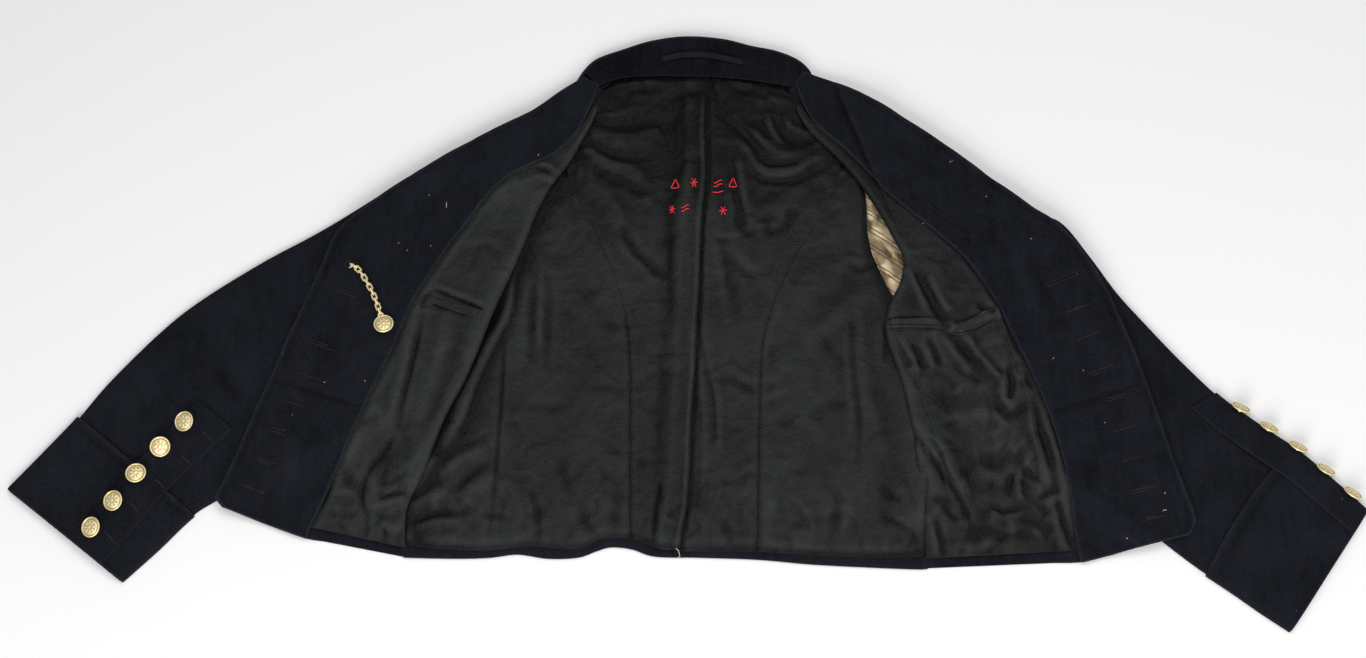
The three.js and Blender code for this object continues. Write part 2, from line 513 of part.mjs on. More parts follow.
/** The loose lining of the back in four panels, with a pleat down the middle. */
function addBackLining() {
  const top = WOOL + GAP + LINING;
  const { smoothstep } = THREE.MathUtils;
  const overlap = LINING + GAP;
  const shifted = (rows) => rows.map(({ x, y }) => ({ x: x - PLEAT_UNDERLAP, y }));
  const pleatEdge = 110;

  const left = {
    top: line(LEFT_NECK),
    bottom: line(LEFT_BACK_HEM),
    left: line(LEFT_LINING_SEAM),
    right: line(PLEAT),
  };
  const overPleat = (x, y, u, v) => {
    const toEdge = (1 - u) * (left.right(v).x - left.left(v).x);
    const fullness = GAP + PLEAT_FULLNESS * smoothstep(v * pleatEdge, 3, 16);
    const lift = (overlap + fullness) * (1 - smoothstep(toEdge, PLEAT_UNDERLAP + 2, 44));
    const ends = smoothstep(Math.min(u * pleatEdge, v * pleatEdge, (1 - v) * pleatEdge), 0, 26);
    return top + lift + foldRise(x, y) * ends;
  };
  addPiece("lining_back_left", layer(panel(left, 9, 26, overPleat), LINING), blackSateen);

  const right = {
    top: line(RIGHT_NECK),
    bottom: line(RIGHT_BACK_HEM),
    left: line(shifted(PLEAT).with(0, RIGHT_NECK[0])),
    right: line(RIGHT_LINING_SEAM),
  };
  const underPleat = (x, y, u, v) => {
    const fromEdge = u * (right.right(v).x - right.left(v).x);
    const ends = smoothstep(Math.min((1 - u) * pleatEdge, v * pleatEdge, (1 - v) * pleatEdge), 0, 26);
    return top + foldRise(x, y) * ends * smoothstep(fromEdge, PLEAT_UNDERLAP + 2, 40);
  };
  addPiece("lining_back_right", layer(panel(right, 9, 26, underPleat), LINING), blackSateen);

  const calm = (x, y, u, v) => {
    const ends = smoothstep(Math.min(u, 1 - u) * 140, 0, 30) * smoothstep(Math.min(v, 1 - v) * 400, 0, 30);
    return top + foldRise(x, y) * ends;
  };
  const leftSeam = below(left.left, 150, -SEAM);
  const leftSide = {
    top: line([LEFT_TUCK[0], leftSeam(0)]),
    bottom: line(LEFT_SIDE_HEM.with(-1, leftSeam(1))),
    left: line(LEFT_TUCK),
    right: leftSeam,
  };
  addPiece("lining_side_left", layer(panel(leftSide, 8, 18, calm), LINING), blackSateen);

  const rightSeam = below(right.right, 158, SEAM);
  const rightSide = {
    top: line([rightSeam(0), RIGHT_TUCK[0]]),
    bottom: line(RIGHT_SIDE_HEM.with(0, rightSeam(1))),
    left: rightSeam,
    right: line(RIGHT_TUCK),
  };
  addPiece("lining_side_right", layer(panel(rightSide, 8, 18, calm), LINING), blackSateen);
}

/** The striped lining inside the right armhole. */
function addSleeveLining() {
  const sides = {
    top: line([SLEEVE_SLIT[0], SLEEVE_SLIT_FAR[0]]),
    bottom: line([SLEEVE_SLIT.at(-1), SLEEVE_SLIT_FAR.at(-1)]),
    left: line(SLEEVE_SLIT),
    right: line(SLEEVE_SLIT_FAR),
  };
  const height = () => WOOL + GAP + LINING;
  addPiece("sleeve_lining_right", layer(panel(sides, 3, 8, height), LINING), stripedCotton);
}

/** One sleeve: the under sleeve on the floor, the domed top sleeve, the deep cuff and its buttoned strip. */
function addSleeve(name, sections, cuff, strip) {
  const end = sections.length - 1;
  const rows = steps(0, end, end);
  const face = (alongs, acrosses, lift) =>
    alongs.map((along) => acrosses.map((across) => sleevePoint(sections, along, across, lift)));

  const whole = acrossSleeve(12);
  addPiece(`top_sleeve_${name}`, wall(face(rows, whole, 0), face(rows, whole, -WOOL)), navyWool);

  const inset = WOOL + HEM_INSET;
  const flat = rows.map((along) =>
    steps(0, 1, 4).map((across) => {
      const outer = sleevePoint(sections, along, 0, -inset);
      const inner = sleevePoint(sections, along, 1, -inset);
      return outer.lerp(inner, across).setZ(WOOL);
    }),
  );
  addPiece(`under_sleeve_${name}`, layer(flat, WOOL), navyWool);

  const cuffFace = (lift) => {
    const start = whole.map((across) => {
      const along = THREE.MathUtils.lerp(cuff.startOuter, cuff.startInner, across);
      return sleevePoint(sections, along, across, lift);
    });
    return [start, ...face(rows.filter((row) => row > cuff.startOuter), whole, lift)];
  };
  addPiece(`cuff_${name}`, wall(cuffFace(GAP + CUFF), cuffFace(GAP)), navyWool);

  const half = steps(0, end, 2 * end);
  const stripRows = [strip.top, ...half.filter((row) => row > strip.top + 0.1)];
  const stripFace = (thickness) =>
    stripRows.map((along) => {
      const v = (along - strip.top) / (strip.end - strip.top);
      const near = THREE.MathUtils.lerp(strip.topNear, strip.endNear, v);
      const far = THREE.MathUtils.lerp(strip.topFar, strip.endFar, v);
      const lift = stripLift(cuff, along) + thickness;
      return acrossSleeve(4, near, far).map((across) => sleevePoint(sections, along, across, lift));
    });
  addPiece(`cuff_strip_${name}`, wall(stripFace(CUFF), stripFace(0)), navyWool);
}

/** How far the buttoned strip stands off the sleeve: it climbs on to the cuff just before its seam. */
function stripLift(cuff, along) {
  const start = Math.min(cuff.startOuter, cuff.startInner);
  return GAP + (CUFF + GAP) * THREE.MathUtils.smoothstep(along, start - 1.1, start - 0.1);
}

/** One front: its wool, the facing along the edge, and the lining that turns round the roll. */
function addFront(name, rows, sections) {
  const grid = frontGrid(rows, sections);
  const seamColumn = 4;
  addPiece(`front_${name}`, layer(raised(grid, WOOL), WOOL), navyWool);
  const onWool = raised(grid, WOOL + GAP + FACING);
  const facingGrid = onWool.map((row) => {
    const points = row.slice(0, seamColumn + 1);
    const last = points.at(-1).clone().lerp(points.at(-2), 0.02);
    return [...points.slice(0, -1), last];
  });
  const facing = layer(facingGrid, FACING);
  const { x, y } = CHAIN[0];
  const bored = name === "left" ? withHole(facing, x, y, EYELET_RADIUS) : facing;
  addPiece(`facing_${name}`, bored, navyWool);
  const lined = rows.slice(2, -1);
  const liningGrid = grid.slice(2, -1).map((row) => row.slice(seamColumn));
  addPiece(`lining_front_${name}`, frontLining(liningGrid, lined), blackSateen);
  return grid;
}

/** A patch made from a front's own points: top and bottom are rows of its grid, left and right columns. */
function frontPatch(grid, { top, bottom, left, right }, lift) {
  const at = (row, column) => {
    const r = Math.min(Math.floor(row), grid.length - 2);
    const c = Math.min(Math.floor(column), grid[0].length - 2);
    const near = grid[r][c].clone().lerp(grid[r][c + 1], column - c);
    const far = grid[r + 1][c].clone().lerp(grid[r + 1][c + 1], column - c);
    return near.lerp(far, row - r);
  };
  const inside = (first, last) => steps(0, grid.length, grid.length).filter((i) => i > first && i < last);
  return [top, ...inside(top, bottom), bottom].map((row) => {
    const v = (row - top) / (bottom - top);
    const from = THREE.MathUtils.lerp(left[0], left[1], v);
    const to = THREE.MathUtils.lerp(right[0], right[1], v);
    const columns = [from, ...inside(Math.max(...left), Math.min(...right)), to];
    return columns.map((column) => {
      const p = at(row, column);
      return p.setZ(p.z + lift);
    });
  });
}

/** The inside pockets: a patch pocket with a band on the right, and a welt on each side. */
function addPockets(leftGrid, rightGrid) {
  const onLining = WOOL + GAP + LINING + SEAM;
  const patch = { top: 11, bottom: 17, left: [4.1, 4.8], right: [7.85, 7.4] };
  const patchGrid = frontPatch(rightGrid, patch, onLining + LINING);
  addPiece("pocket_right", layer(patchGrid, LINING), blackSateen);
  const band = { top: 11, bottom: 11.4, left: [4.12, 4.16], right: [7.83, 7.8] };
  const bandGrid = frontPatch(rightGrid, band, onLining + LINING + GAP + TAPE);
  addPiece("pocket_band_right", layer(bandGrid, TAPE), blackSateen);
  const welt = { top: 8.75, bottom: 9.0, left: [4.6, 4.6], right: [7.3, 7.3] };
  const weltGrid = frontPatch(leftGrid, welt, onLining + TAPE);
  addPiece("pocket_welt_left", layer(weltGrid, TAPE), blackSateen);
  const onFacing = WOOL + GAP + FACING + GAP;
  const slit = { top: 5.2, bottom: 7.6, left: [3.1, 3.1], right: [3.4, 3.4] };
  const slitGrid = frontPatch(rightGrid, slit, onFacing + TAPE);
  addPiece("pocket_welt_right", layer(slitGrid, TAPE), navyWool);
}

/** The collar: the stand lies on top with its inner face up, and the fall turns under it at the roll. */
function addCollar() {
  const stations = steps(0, COLLAR.length - 1, 12).map((at) => {
    const seam = new THREE.Vector2(between(COLLAR, "seamX", at), between(COLLAR, "seamY", at));
    const roll = new THREE.Vector2(between(COLLAR, "rollX", at), between(COLLAR, "rollY", at));
    return { seam, roll, out: roll.clone().sub(seam).normalize(), deep: roll.distanceTo(seam) };
  });
  const point = ({ seam, out }, reach, z) => {
    const place = seam.clone().addScaledVector(out, reach);
    return new THREE.Vector3(place.x, place.y, z);
  };
  const standGrid = stations.map((station) =>
    steps(0, 1, 4).map((s) => {
      const z = THREE.MathUtils.lerp(STAND_HEIGHT_AT_SEAM, STAND_HEIGHT_AT_ROLL, s);
      return point(station, s * (station.deep - GAP), z);
    }),
  );
  addPiece("collar_stand", layer(standGrid, STAND_WALL), navyWool);

  const turns = 6;
  const face = (radius) =>
    stations.map((station) => {
      const middle = ROLL_RADIUS;
      const bend = steps(0, Math.PI, turns).map((angle) =>
        point(station, station.deep + radius * Math.sin(angle), middle + radius * Math.cos(angle)),
      );
      const shown = Math.min(FALL_SHOWN, station.deep - 3);
      const backs = steps(0, shown, 3).slice(1);
      return [...bend, ...backs.map((back) => point(station, station.deep - back, middle - radius))];
    });
  addPiece("collar_fall", wall(face(ROLL_RADIUS), face(ROLL_RADIUS - STAND_WALL)), navyWool);

  const hanger = line(HANGER);
  const rise = 1.6;
  const hangerGrid = steps(0, 1, 12).map((s) => {
    const p = hanger(s);
    const z = STAND_HEIGHT_AT_ROLL + GAP + TAPE + rise * Math.sin(Math.PI * s);
    return [-0.5, 0.5].map((w) => new THREE.Vector3(p.x, p.y + w * HANGER_WIDTH, z));
  });
  addPiece("hanger_loop", layer(hangerGrid, TAPE), blackTape);
}

/** A domed button with its shank, standing on z = 0. */
function buttonGeometry(shankRadius, shankHeight) {
  const rim = BUTTON_RADIUS;
  const profile = [
    [0, 0], [shankRadius, 0], [shankRadius, shankHeight], [rim - 1, shankHeight], [rim, shankHeight + 0.9],
    [rim - 0.7, shankHeight + 1.9], [rim - 4, shankHeight + 3.4],
    [0, shankHeight + 4.4],
  ];
  const points = profile.map(([radius, height]) => new THREE.Vector2(radius, height));
  return new THREE.LatheGeometry(points, 12).rotateX(Math.PI / 2);
}

/** The place along a buttoned strip at a distance from the cuff's end. */
function alongStrip(sections, strip, across, distance) {
  let [along, walked] = [strip.end, 0];
  const pace = 0.01;
  while (walked < distance) {
    const here = sleevePoint(sections, along, across, 0);
    along -= pace;
    walked += here.distanceTo(sleevePoint(sections, along, across, 0));
  }
  return along;
}

/** Five buttons in a row on a cuff's strip: flat on the left cuff, on edge at the fold of the right. */
function addCuffButtons() {
  const radians = THREE.MathUtils.degToRad;
  const onTop = 0.62;
  const drift = 0.025;
  const onStrip = 1.1;
  const shankRadius = 1.6;
  for (let i = 0; i < BUTTON_TILTS.length; i++) {
    const distance = FIRST_CUFF_BUTTON + i * CUFF_BUTTON_PITCH;
    const along = alongStrip(LEFT_SLEEVE, LEFT_STRIP, onTop, distance);
    const lift = stripLift(LEFT_CUFF, along) + CUFF + onStrip;
    const button = addPiece(`cuff_button_left_${i + 1}`, buttonGeometry(shankRadius, SHANK_HEIGHT), gilt);
    button.position.copy(sleevePoint(LEFT_SLEEVE, along, onTop - drift * i, lift));
    button.rotation.set(radians(BUTTON_TILTS[i]), radians(BUTTON_TILTS.at(-1 - i)), 0);
  }
  const lean = radians(EDGE_BUTTON_LEAN);
  for (let i = 0; i < BUTTON_TILTS.length; i++) {
    const distance = FIRST_CUFF_BUTTON + i * CUFF_BUTTON_PITCH;
    const along = alongStrip(RIGHT_SLEEVE, RIGHT_STRIP, 0, distance);
    const lift = stripLift(RIGHT_CUFF, along) + CUFF;
    const edge = sleevePoint(RIGHT_SLEEVE, along, 0, lift);
    const outward = edge.clone().sub(sleevePoint(RIGHT_SLEEVE, along, 1, lift)).setZ(0).normalize();
    const axis = outward.clone().setLength(Math.sin(lean)).setZ(Math.cos(lean));
    const button = addPiece(`cuff_button_right_${i + 1}`, buttonGeometry(shankRadius, SHANK_HEIGHT), gilt);
    button.quaternion.setFromUnitVectors(new THREE.Vector3(0, 0, 1), axis);
    button.position.copy(edge).addScaledVector(outward, -EDGE_BUTTON_INSET).setZ(EDGE_BUTTON_HEIGHT);
  }
}

/** A chain link: a ring pulled apart at its middle, long side on X, flat in the XY plane. */
function linkGeometry(length) {
  const ring = new THREE.TorusGeometry((LINK_WIDTH - WIRE) / 2, WIRE / 2, 6, 10);
  const places = ring.attributes.position;
  const pull = (length - LINK_WIDTH) / 2;
  for (let i = 0; i < places.count; i++) {
    places.setX(i, places.getX(i) + Math.sign(places.getX(i)) * pull);
  }
  return ring;
}

/** The chain: a shank eye that stands in the eyelet, links turned in turn, and the button at the end. */
function addChain() {
  const radians = THREE.MathUtils.degToRad;
  const curve = new THREE.SplineCurve(CHAIN.map(({ x, y }) => new THREE.Vector2(x, y)));
  const length = curve.getLength();
  const surface = OVER_SLEEVE + WOOL + GAP + FACING;
  const onEdge = (LINK_WIDTH - WIRE) / 2 * Math.cos(radians(LINK_ROLL));
  const level = surface + GAP + onEdge + WIRE / 2 + 0.1;
  const place = (mesh, reach, z, roll, pitch) => {
    const s = Math.min(reach / length, 1);
    const p = curve.getPointAt(s);
    const way = curve.getTangentAt(s);
    mesh.rotation.order = "ZYX";
    mesh.rotation.set(radians(roll), radians(pitch), Math.atan2(way.y, way.x));
    mesh.position.set(p.x, p.y, z);
  };

  const eye = addPiece("chain_eye", linkGeometry(EYE_LENGTH), gilt);
  const start = curve.getPointAt(0);
  const way = curve.getTangentAt(0);
  const upright = new THREE.Vector3(way.x, way.y, 0).multiplyScalar(Math.sin(radians(EYE_LEAN)));
  upright.z = Math.cos(radians(EYE_LEAN));
  const sideways = new THREE.Vector3(-way.y, way.x, 0);
  const frame = new THREE.Matrix4().makeBasis(upright, sideways, upright.clone().cross(sideways));
  eye.quaternion.setFromRotationMatrix(frame);
  eye.position.set(start.x + way.x * EYE_REACH, start.y + way.y * EYE_REACH, level - EYE_DROP);

  for (let i = 0; i < CHAIN_LINKS; i++) {
    const onItsEdge = i === 0 ? -90 : LINK_ROLL - 90;
    const link = addPiece(`chain_link_${String(i + 1).padStart(2, "0")}`, linkGeometry(LINK_LENGTH), gilt);
    place(link, FIRST_LINK_REACH + i * LINK_PITCH, level, i % 2 === 0 ? onItsEdge : LINK_ROLL, 0);
  }
  const lastReach = FIRST_LINK_REACH + (CHAIN_LINKS - 1) * LINK_PITCH;
  const shackleReach = lastReach + (LINK_LENGTH + SHACKLE_LENGTH) / 2 - 2.5 * WIRE + 0.45;
  const shackle = addPiece("chain_shackle", linkGeometry(SHACKLE_LENGTH), gilt);
  place(shackle, shackleReach, level - SHACKLE_DROP, 0, SHACKLE_SLOPE);

  const button = addPiece("chain_button", buttonGeometry(1.0, 5.0), gilt);
  const end = curve.getPointAt(1);
  button.position.set(end.x, end.y, surface + 2 * GAP);
  button.rotation.set(radians(-9), 0, 0);
}

addBack();
addBackLining();
addSleeveLining();
addSleeve("left", LEFT_SLEEVE, LEFT_CUFF, LEFT_STRIP);
addSleeve("right", RIGHT_SLEEVE, RIGHT_CUFF, RIGHT_STRIP);
const leftGrid = addFront("left", LEFT_FRONT, LEFT_SLEEVE);
const rightGrid = addFront("right", RIGHT_FRONT, RIGHT_SLEEVE);
addPockets(leftGrid, rightGrid);
addCollar();
addCuffButtons();
addChain();

tunic.position.set(-CENTRE.x, -CENTRE.y, 0);
const part = new THREE.Group().add(tunic);

export default part;
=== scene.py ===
import bpy
import numpy as np
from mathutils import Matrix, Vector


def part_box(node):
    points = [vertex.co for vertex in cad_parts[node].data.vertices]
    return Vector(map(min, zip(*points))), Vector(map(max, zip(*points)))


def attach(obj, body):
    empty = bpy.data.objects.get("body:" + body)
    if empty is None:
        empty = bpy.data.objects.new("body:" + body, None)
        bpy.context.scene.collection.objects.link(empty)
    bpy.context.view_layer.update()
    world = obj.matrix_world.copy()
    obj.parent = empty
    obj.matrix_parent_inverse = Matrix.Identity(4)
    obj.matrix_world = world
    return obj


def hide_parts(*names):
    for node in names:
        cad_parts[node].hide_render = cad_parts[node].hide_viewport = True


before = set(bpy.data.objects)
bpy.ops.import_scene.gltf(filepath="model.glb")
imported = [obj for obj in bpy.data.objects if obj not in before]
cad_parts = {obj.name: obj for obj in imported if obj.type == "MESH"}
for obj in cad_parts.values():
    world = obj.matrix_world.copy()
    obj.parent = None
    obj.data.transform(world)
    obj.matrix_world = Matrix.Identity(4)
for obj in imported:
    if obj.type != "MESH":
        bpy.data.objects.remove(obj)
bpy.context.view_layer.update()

# The table, the light and the camera
# The tunic was photographed on a plain white table in soft light from above.
# The camera stands 69 degrees above the table, at the side of the hem.

MM = 0.001
CENTRE = np.array([0.9, -7.6, 0.0])
TABLE_LEVEL = -0.0006


def placed(points):
    """Table millimetres become metres from the middle of the tunic's outline: the middle is taken away."""
    return (np.asarray(points, float) - CENTRE) * MM


def table_top(reach):
    """One square that reaches the same way to each side, a little under the cloth."""
    corners = [(x * reach, y * reach, TABLE_LEVEL) for x, y in ((-1, -1), (1, -1), (1, 1), (-1, 1))]
    mesh = bpy.data.meshes.new("table_top")
    mesh.from_pydata(corners, [], [(0, 1, 2, 3)])
    return bpy.data.objects.new("table_top", mesh)


table = table_top(12.0)
bpy.context.scene.collection.objects.link(table)
white_board = bpy.data.materials.new("white_board")
white_board.use_nodes = True
board_shader = white_board.node_tree.nodes["Principled BSDF"]
board_shader.inputs["Base Color"].default_value = (0.86, 0.86, 0.86, 1.0)
board_shader.inputs["Roughness"].default_value = 0.7
table.data.materials.append(white_board)


def soft_box(name, place, size, watts):
    """A square lamp that faces the tunic: it is turned so that its own -Z axis points at the origin."""
    lamp = bpy.data.lights.new(name, "AREA")
    lamp.energy = watts
    lamp.size = size
    stand = bpy.data.objects.new(name, lamp)
    stand.location = place
    away = np.array(place, float)
    across = np.array([1.0, 0.0, 0.0]) if abs(away[0]) < 1e-6 else np.cross([0.0, 0.0, 1.0], away)
    across = across / np.linalg.norm(across)
    back = away / np.linalg.norm(away)
    up = np.cross(back, across)
    turn = np.eye(4)
    turn[:3, 0], turn[:3, 1], turn[:3, 2], turn[:3, 3] = across, up, back, away
    stand.matrix_world = turn.T.tolist()
    bpy.context.scene.collection.objects.link(stand)


soft_box("window_light", (-0.5, -2.3, 1.5), 1.5, 58.0)
soft_box("ceiling_light", (0.2, 0.4, 2.8), 2.2, 38.0)
soft_box("fill_light", (1.9, -1.0, 1.3), 1.2, 12.0)
bpy.context.scene.view_settings.view_transform = "Standard"

sky = bpy.data.worlds.new("studio")
sky.use_nodes = True
background = sky.node_tree.nodes["Background"]
background.inputs["Color"].default_value = (1.0, 1.0, 1.0, 1.0)
background.inputs["Strength"].default_value = 0.25
bpy.context.scene.world = sky

elevation = np.radians(69.0)
distance = 2.0
seen_width = 1.339
aim = placed([-2.0, -17.5, 0.0])
lens = bpy.data.cameras.new("photo_camera")
lens.sensor_width = 36.0
lens.lens = 36.0 * distance / seen_width
lens.clip_end = 60.0
camera = bpy.data.objects.new("photo_camera", lens)
camera.location = aim + distance * np.array([0.0, -np.cos(elevation), np.sin(elevation)])
camera.rotation_euler = (np.pi / 2 - elevation, 0.0, 0.0)
bpy.context.scene.collection.objects.link(camera)
bpy.context.scene.camera = camera

# The back
# One panel of navy wool cloth, 2.4 mm thick, that lies flat on the table with its hem turned up.
# It shows only as a narrow band below the lining and at the neck.


class Wire:
    """A value on its way through a material: arithmetic adds Math nodes, and node() adds any other node."""

    def __init__(self, tree, socket=None):
        self.tree = tree
        self.socket = socket

    def node(self, kind, settings=None, sockets=None, out=0):
        """Adds a node: its settings first, then a value or a wire for each named or numbered socket."""
        made = self.tree.nodes.new("ShaderNode" + kind)
        for key, value in (settings or {}).items():
            setattr(made, key, value)
        for key, value in (sockets or {}).items():
            if isinstance(value, Wire):
                self.tree.links.new(value.socket, made.inputs[key])
            else:
                made.inputs[key].default_value = value
        return Wire(self.tree, made.outputs[out])

    def maths(self, operation, *values):
        """One Math node on values or wires."""
        return self.node("Math", {"operation": operation}, dict(enumerate(values)))

    def __add__(self, other):
        return self.maths("ADD", self, other)

    def __radd__(self, other):
        return self.maths("ADD", other, self)

    def __sub__(self, other):
        return self.maths("SUBTRACT", self, other)

    def __rsub__(self, other):
        return self.maths("SUBTRACT", other, self)

    def __mul__(self, other):
        return self.maths("MULTIPLY", self, other)

    def __rmul__(self, other):
        return self.maths("MULTIPLY", other, self)

    def held(self, low=0.0, high=1.0):
        """The value kept between two limits."""
        return self.maths("MAXIMUM", self.maths("MINIMUM", self, high), low)

    def between(self, start, end):
        """0 below start, 1 above end and a smooth step from one to the other."""
        kind = {"interpolation_type": "SMOOTHSTEP"}
        return self.node("MapRange", kind, {"Value": self, "From Min": start, "From Max": end})

    def colours(self, zero, one):
        """A colour between two colours, by this value."""
        return self.node("Mix", {"data_type": "RGBA"}, {0: self, 6: (*zero, 1.0), 7: (*one, 1.0)}, out=2)

    def towards(self, colour, share):
        """This colour moved towards another one by a share."""
        return self.node("Mix", {"data_type": "RGBA"}, {0: share, 6: self, 7: (*colour, 1.0)}, out=2)

    def kept(self, mark):
        """A value that the mesh keeps at its points."""
        return self.node("Attribute", {"attribute_name": mark}, None, out=2)

    def noise(self, place, scale, detail, roughness=0.5):
        """Cloudy noise, finer with the scale and richer with the detail."""
        sockets = {"Vector": place, "Scale": scale, "Detail": detail, "Roughness": roughness}
        return self.node("TexNoise", None, sockets)

    def bump(self, strength, distance):
        """The slope that this value gives to the surface."""
        return self.node("Bump", None, {"Height": self, "Strength": strength, "Distance": distance})


def new_finish(name):
    """An empty material, with a wire to build it from and the shader that it ends in."""
    material = bpy.data.materials.new(name)
    material.use_nodes = True
    tree = material.node_tree
    return material, Wire(tree), tree.nodes["Principled BSDF"]


def finished(material, shader, constants, wires):
    """Sets the shader's constant sockets, and links what changes over the surface."""
    for name, value in constants.items():
        shader.inputs[name].default_value = value
    for name, wire in wires.items():
        material.node_tree.links.new(wire.socket, shader.inputs[name])
    return material


def wool(name, dark, light):
    """Milled wool cloth: a short nap over a close twill, a little lighter in random brushed patches, and
    lighter along its edges by a painted highlight. Its colour goes by a weighted sum of four noises, less a
    painted shade by the depth of the folds."""
    material, wire, shader = new_finish(name)
    place = wire.node("TexCoord", out=3)
    nap = wire.noise(place, 1500.0, 3.0, 0.7)
    felt = wire.noise(place, 320.0, 4.0, 0.65)
    brushed = wire.noise(place, 16.0, 3.0, 0.5)
    streak = wire.node("Mapping", {"vector_type": "TEXTURE"}, {"Vector": place, "Scale": (1.0, 6.0, 1.0)})
    laid = wire.noise(streak, 140.0, 3.0)
    lint = wire.node("TexVoronoi", None, {"Vector": place, "Scale": 46.0, "Randomness": 1.0})
    speck = 1.0 - lint.between(0.02, 0.035)
    rare = wire.noise(place, 9.0, 0.0).between(0.56, 0.6)
    # Painted shade: the wool is coloured darker the deeper it lies in a fold.
    painted_fold_shade = wire.kept("painted_fold_shade")
    tone = (nap * 0.9 + felt * 1.0 + brushed * 0.7 + laid * 0.5 - painted_fold_shade * 0.4 - 1.05).held()
    colour = tone.colours(dark, light).towards((0.2, 0.21, 0.23), speck * rare * 0.55)
    # Painted highlight along the cloth's edge, mottled by the felt noise.
    painted_edge_highlight = wire.kept("painted_edge_highlight") * (felt * 0.9 + 0.1)
    colour = colour.towards((0.045, 0.048, 0.062), painted_edge_highlight * 0.6)
    height = nap * 0.5 + felt * 0.9 + laid * 0.4
    bump = height.bump(0.7, 0.0007)
    constants = {
        "Roughness": 0.95, "Specular IOR Level": 0.1,
        "Sheen Weight": 0.03, "Sheen Roughness": 0.4, "Sheen Tint": (0.72, 0.78, 1.0, 1.0),
    }
    return finished(material, shader, constants, {"Base Color": colour, "Normal": bump})


navy_wool = wool("navy_wool", (0.0016, 0.0018, 0.0032), (0.0122, 0.0135, 0.0192))


def bell(distance, width):
    """1 at no distance, fading to both sides: e to the power of minus the square of distance by width."""
    return np.exp(-((distance / width) ** 2))


def smooth_step(value, start, end):
    """0 up to start, 1 from end, and between them three times t squared less twice t cubed."""
    t = np.clip((value - start) / (end - start), 0.0, 1.0)
    return t * t * (3.0 - 2.0 * t)


def through(table, at):
    """A Catmull-Rom line through the rows of a table that stand at 0, 1, 2 and so on: each span blends four
    rows by its cubic."""
    rows = np.asarray(table, float)
    padded = np.vstack([rows[0], rows, rows[-1]])
    at = np.clip(np.asarray(at, float), 0.0, len(rows) - 1 - 1e-9)
    first = at.astype(int)
    t = (at - first)[:, None]
    a, b, c, d = (padded[first + i] for i in range(4))
    curve = 2 * b + (c - a) * t + (2 * a - 5 * b + 4 * c - d) * t**2 + (3 * b - 3 * c + d - a) * t**3
    return curve / 2


def by_length(table, shares):
    """The smooth line through a table, read at shares of its whole length."""
    dense = through(table, np.linspace(0, len(table) - 1, 40 * len(table)))
    length = np.concatenate([[0.0], np.cumsum(np.linalg.norm(np.diff(dense, axis=0), axis=1))])
    wanted = np.asarray(shares) * length[-1]
    return np.stack([np.interp(wanted, length, dense[:, i]) for i in range(dense.shape[1])], axis=1)


def four_sided(top, bottom, left, right, columns, rows):
    """A panel between four lines: the facing pairs are blended, and the blend of the corners taken away."""
    u = np.linspace(0, 1, columns)
    v = np.linspace(0, 1, rows)
    t, b, l, r = by_length(top, u), by_length(bottom, u), by_length(left, v), by_length(right, v)
    across = t[None] * (1 - v)[:, None, None] + b[None] * v[:, None, None]
    down = l[:, None] * (1 - u)[None, :, None] + r[:, None] * u[None, :, None]
    near = l[0] * (1 - u)[:, None] + r[0] * u[:, None]
    far = l[-1] * (1 - u)[:, None] + r[-1] * u[:, None]
    corners = near[None] * (1 - v)[:, None, None] + far[None] * v[:, None, None]
    return across + down - corners


def lifted(flat, height):
    """A flat grid of points with a height for each."""
    return np.concatenate([flat, np.broadcast_to(height, flat.shape[:2])[..., None]], axis=2)


def normals_of(grid):
    """The cross product of the steps down the rows and along the columns, one long, and up on the whole."""
    down = np.gradient(grid, axis=0)
    across = np.gradient(grid, axis=1)
    normal = np.cross(across, down)
    normal /= np.maximum(np.linalg.norm(normal, axis=2, keepdims=True), 1e-9)
    return normal * np.sign(normal[..., 2].sum())


def rim_of(grid):
    """The numbers of the border points of a grid, once round."""
    rows, columns = grid.shape[:2]
    numbers = np.arange(rows * columns).reshape(rows, columns)
    return np.concatenate([numbers[0, :-1], numbers[:-1, -1], numbers[-1, :0:-1], numbers[:0:-1, 0]])


def spread(height, steps):
    """The mean of a grid over a window of so many steps to each side, first down and then across: a running
    sum at the window's end, less the one at its start."""
    for axis, reach in enumerate(steps):
        first, last = np.take(height, [0], axis), np.take(height, [-1], axis)
        before, after = np.repeat(first, reach + 1, axis), np.repeat(last, reach, axis)
        total = np.cumsum(np.concatenate([before, height, after], axis=axis), axis=axis)
        ahead = np.take(total, range(2 * reach + 1, total.shape[axis]), axis)
        height = (ahead - np.take(total, range(total.shape[axis] - 2 * reach - 1), axis)) / (2 * reach + 1)
    return height


def hollow_of(grid, reach=5.5):
    """How far each place lies below the mean of the cloth about it, in millimetres from -1 to 1."""
    steps = []
    for axis in (0, 1):
        step = np.linalg.norm(np.diff(grid, axis=axis), axis=2).mean()
        steps.append(int(np.clip(round(reach / max(step, 0.3)), 1, 40)))
    about = spread(spread(grid[..., 2], steps), steps)
    return np.clip(about - grid[..., 2], -1, 1)


EDGE_RINGS = 3
surfaces = {}


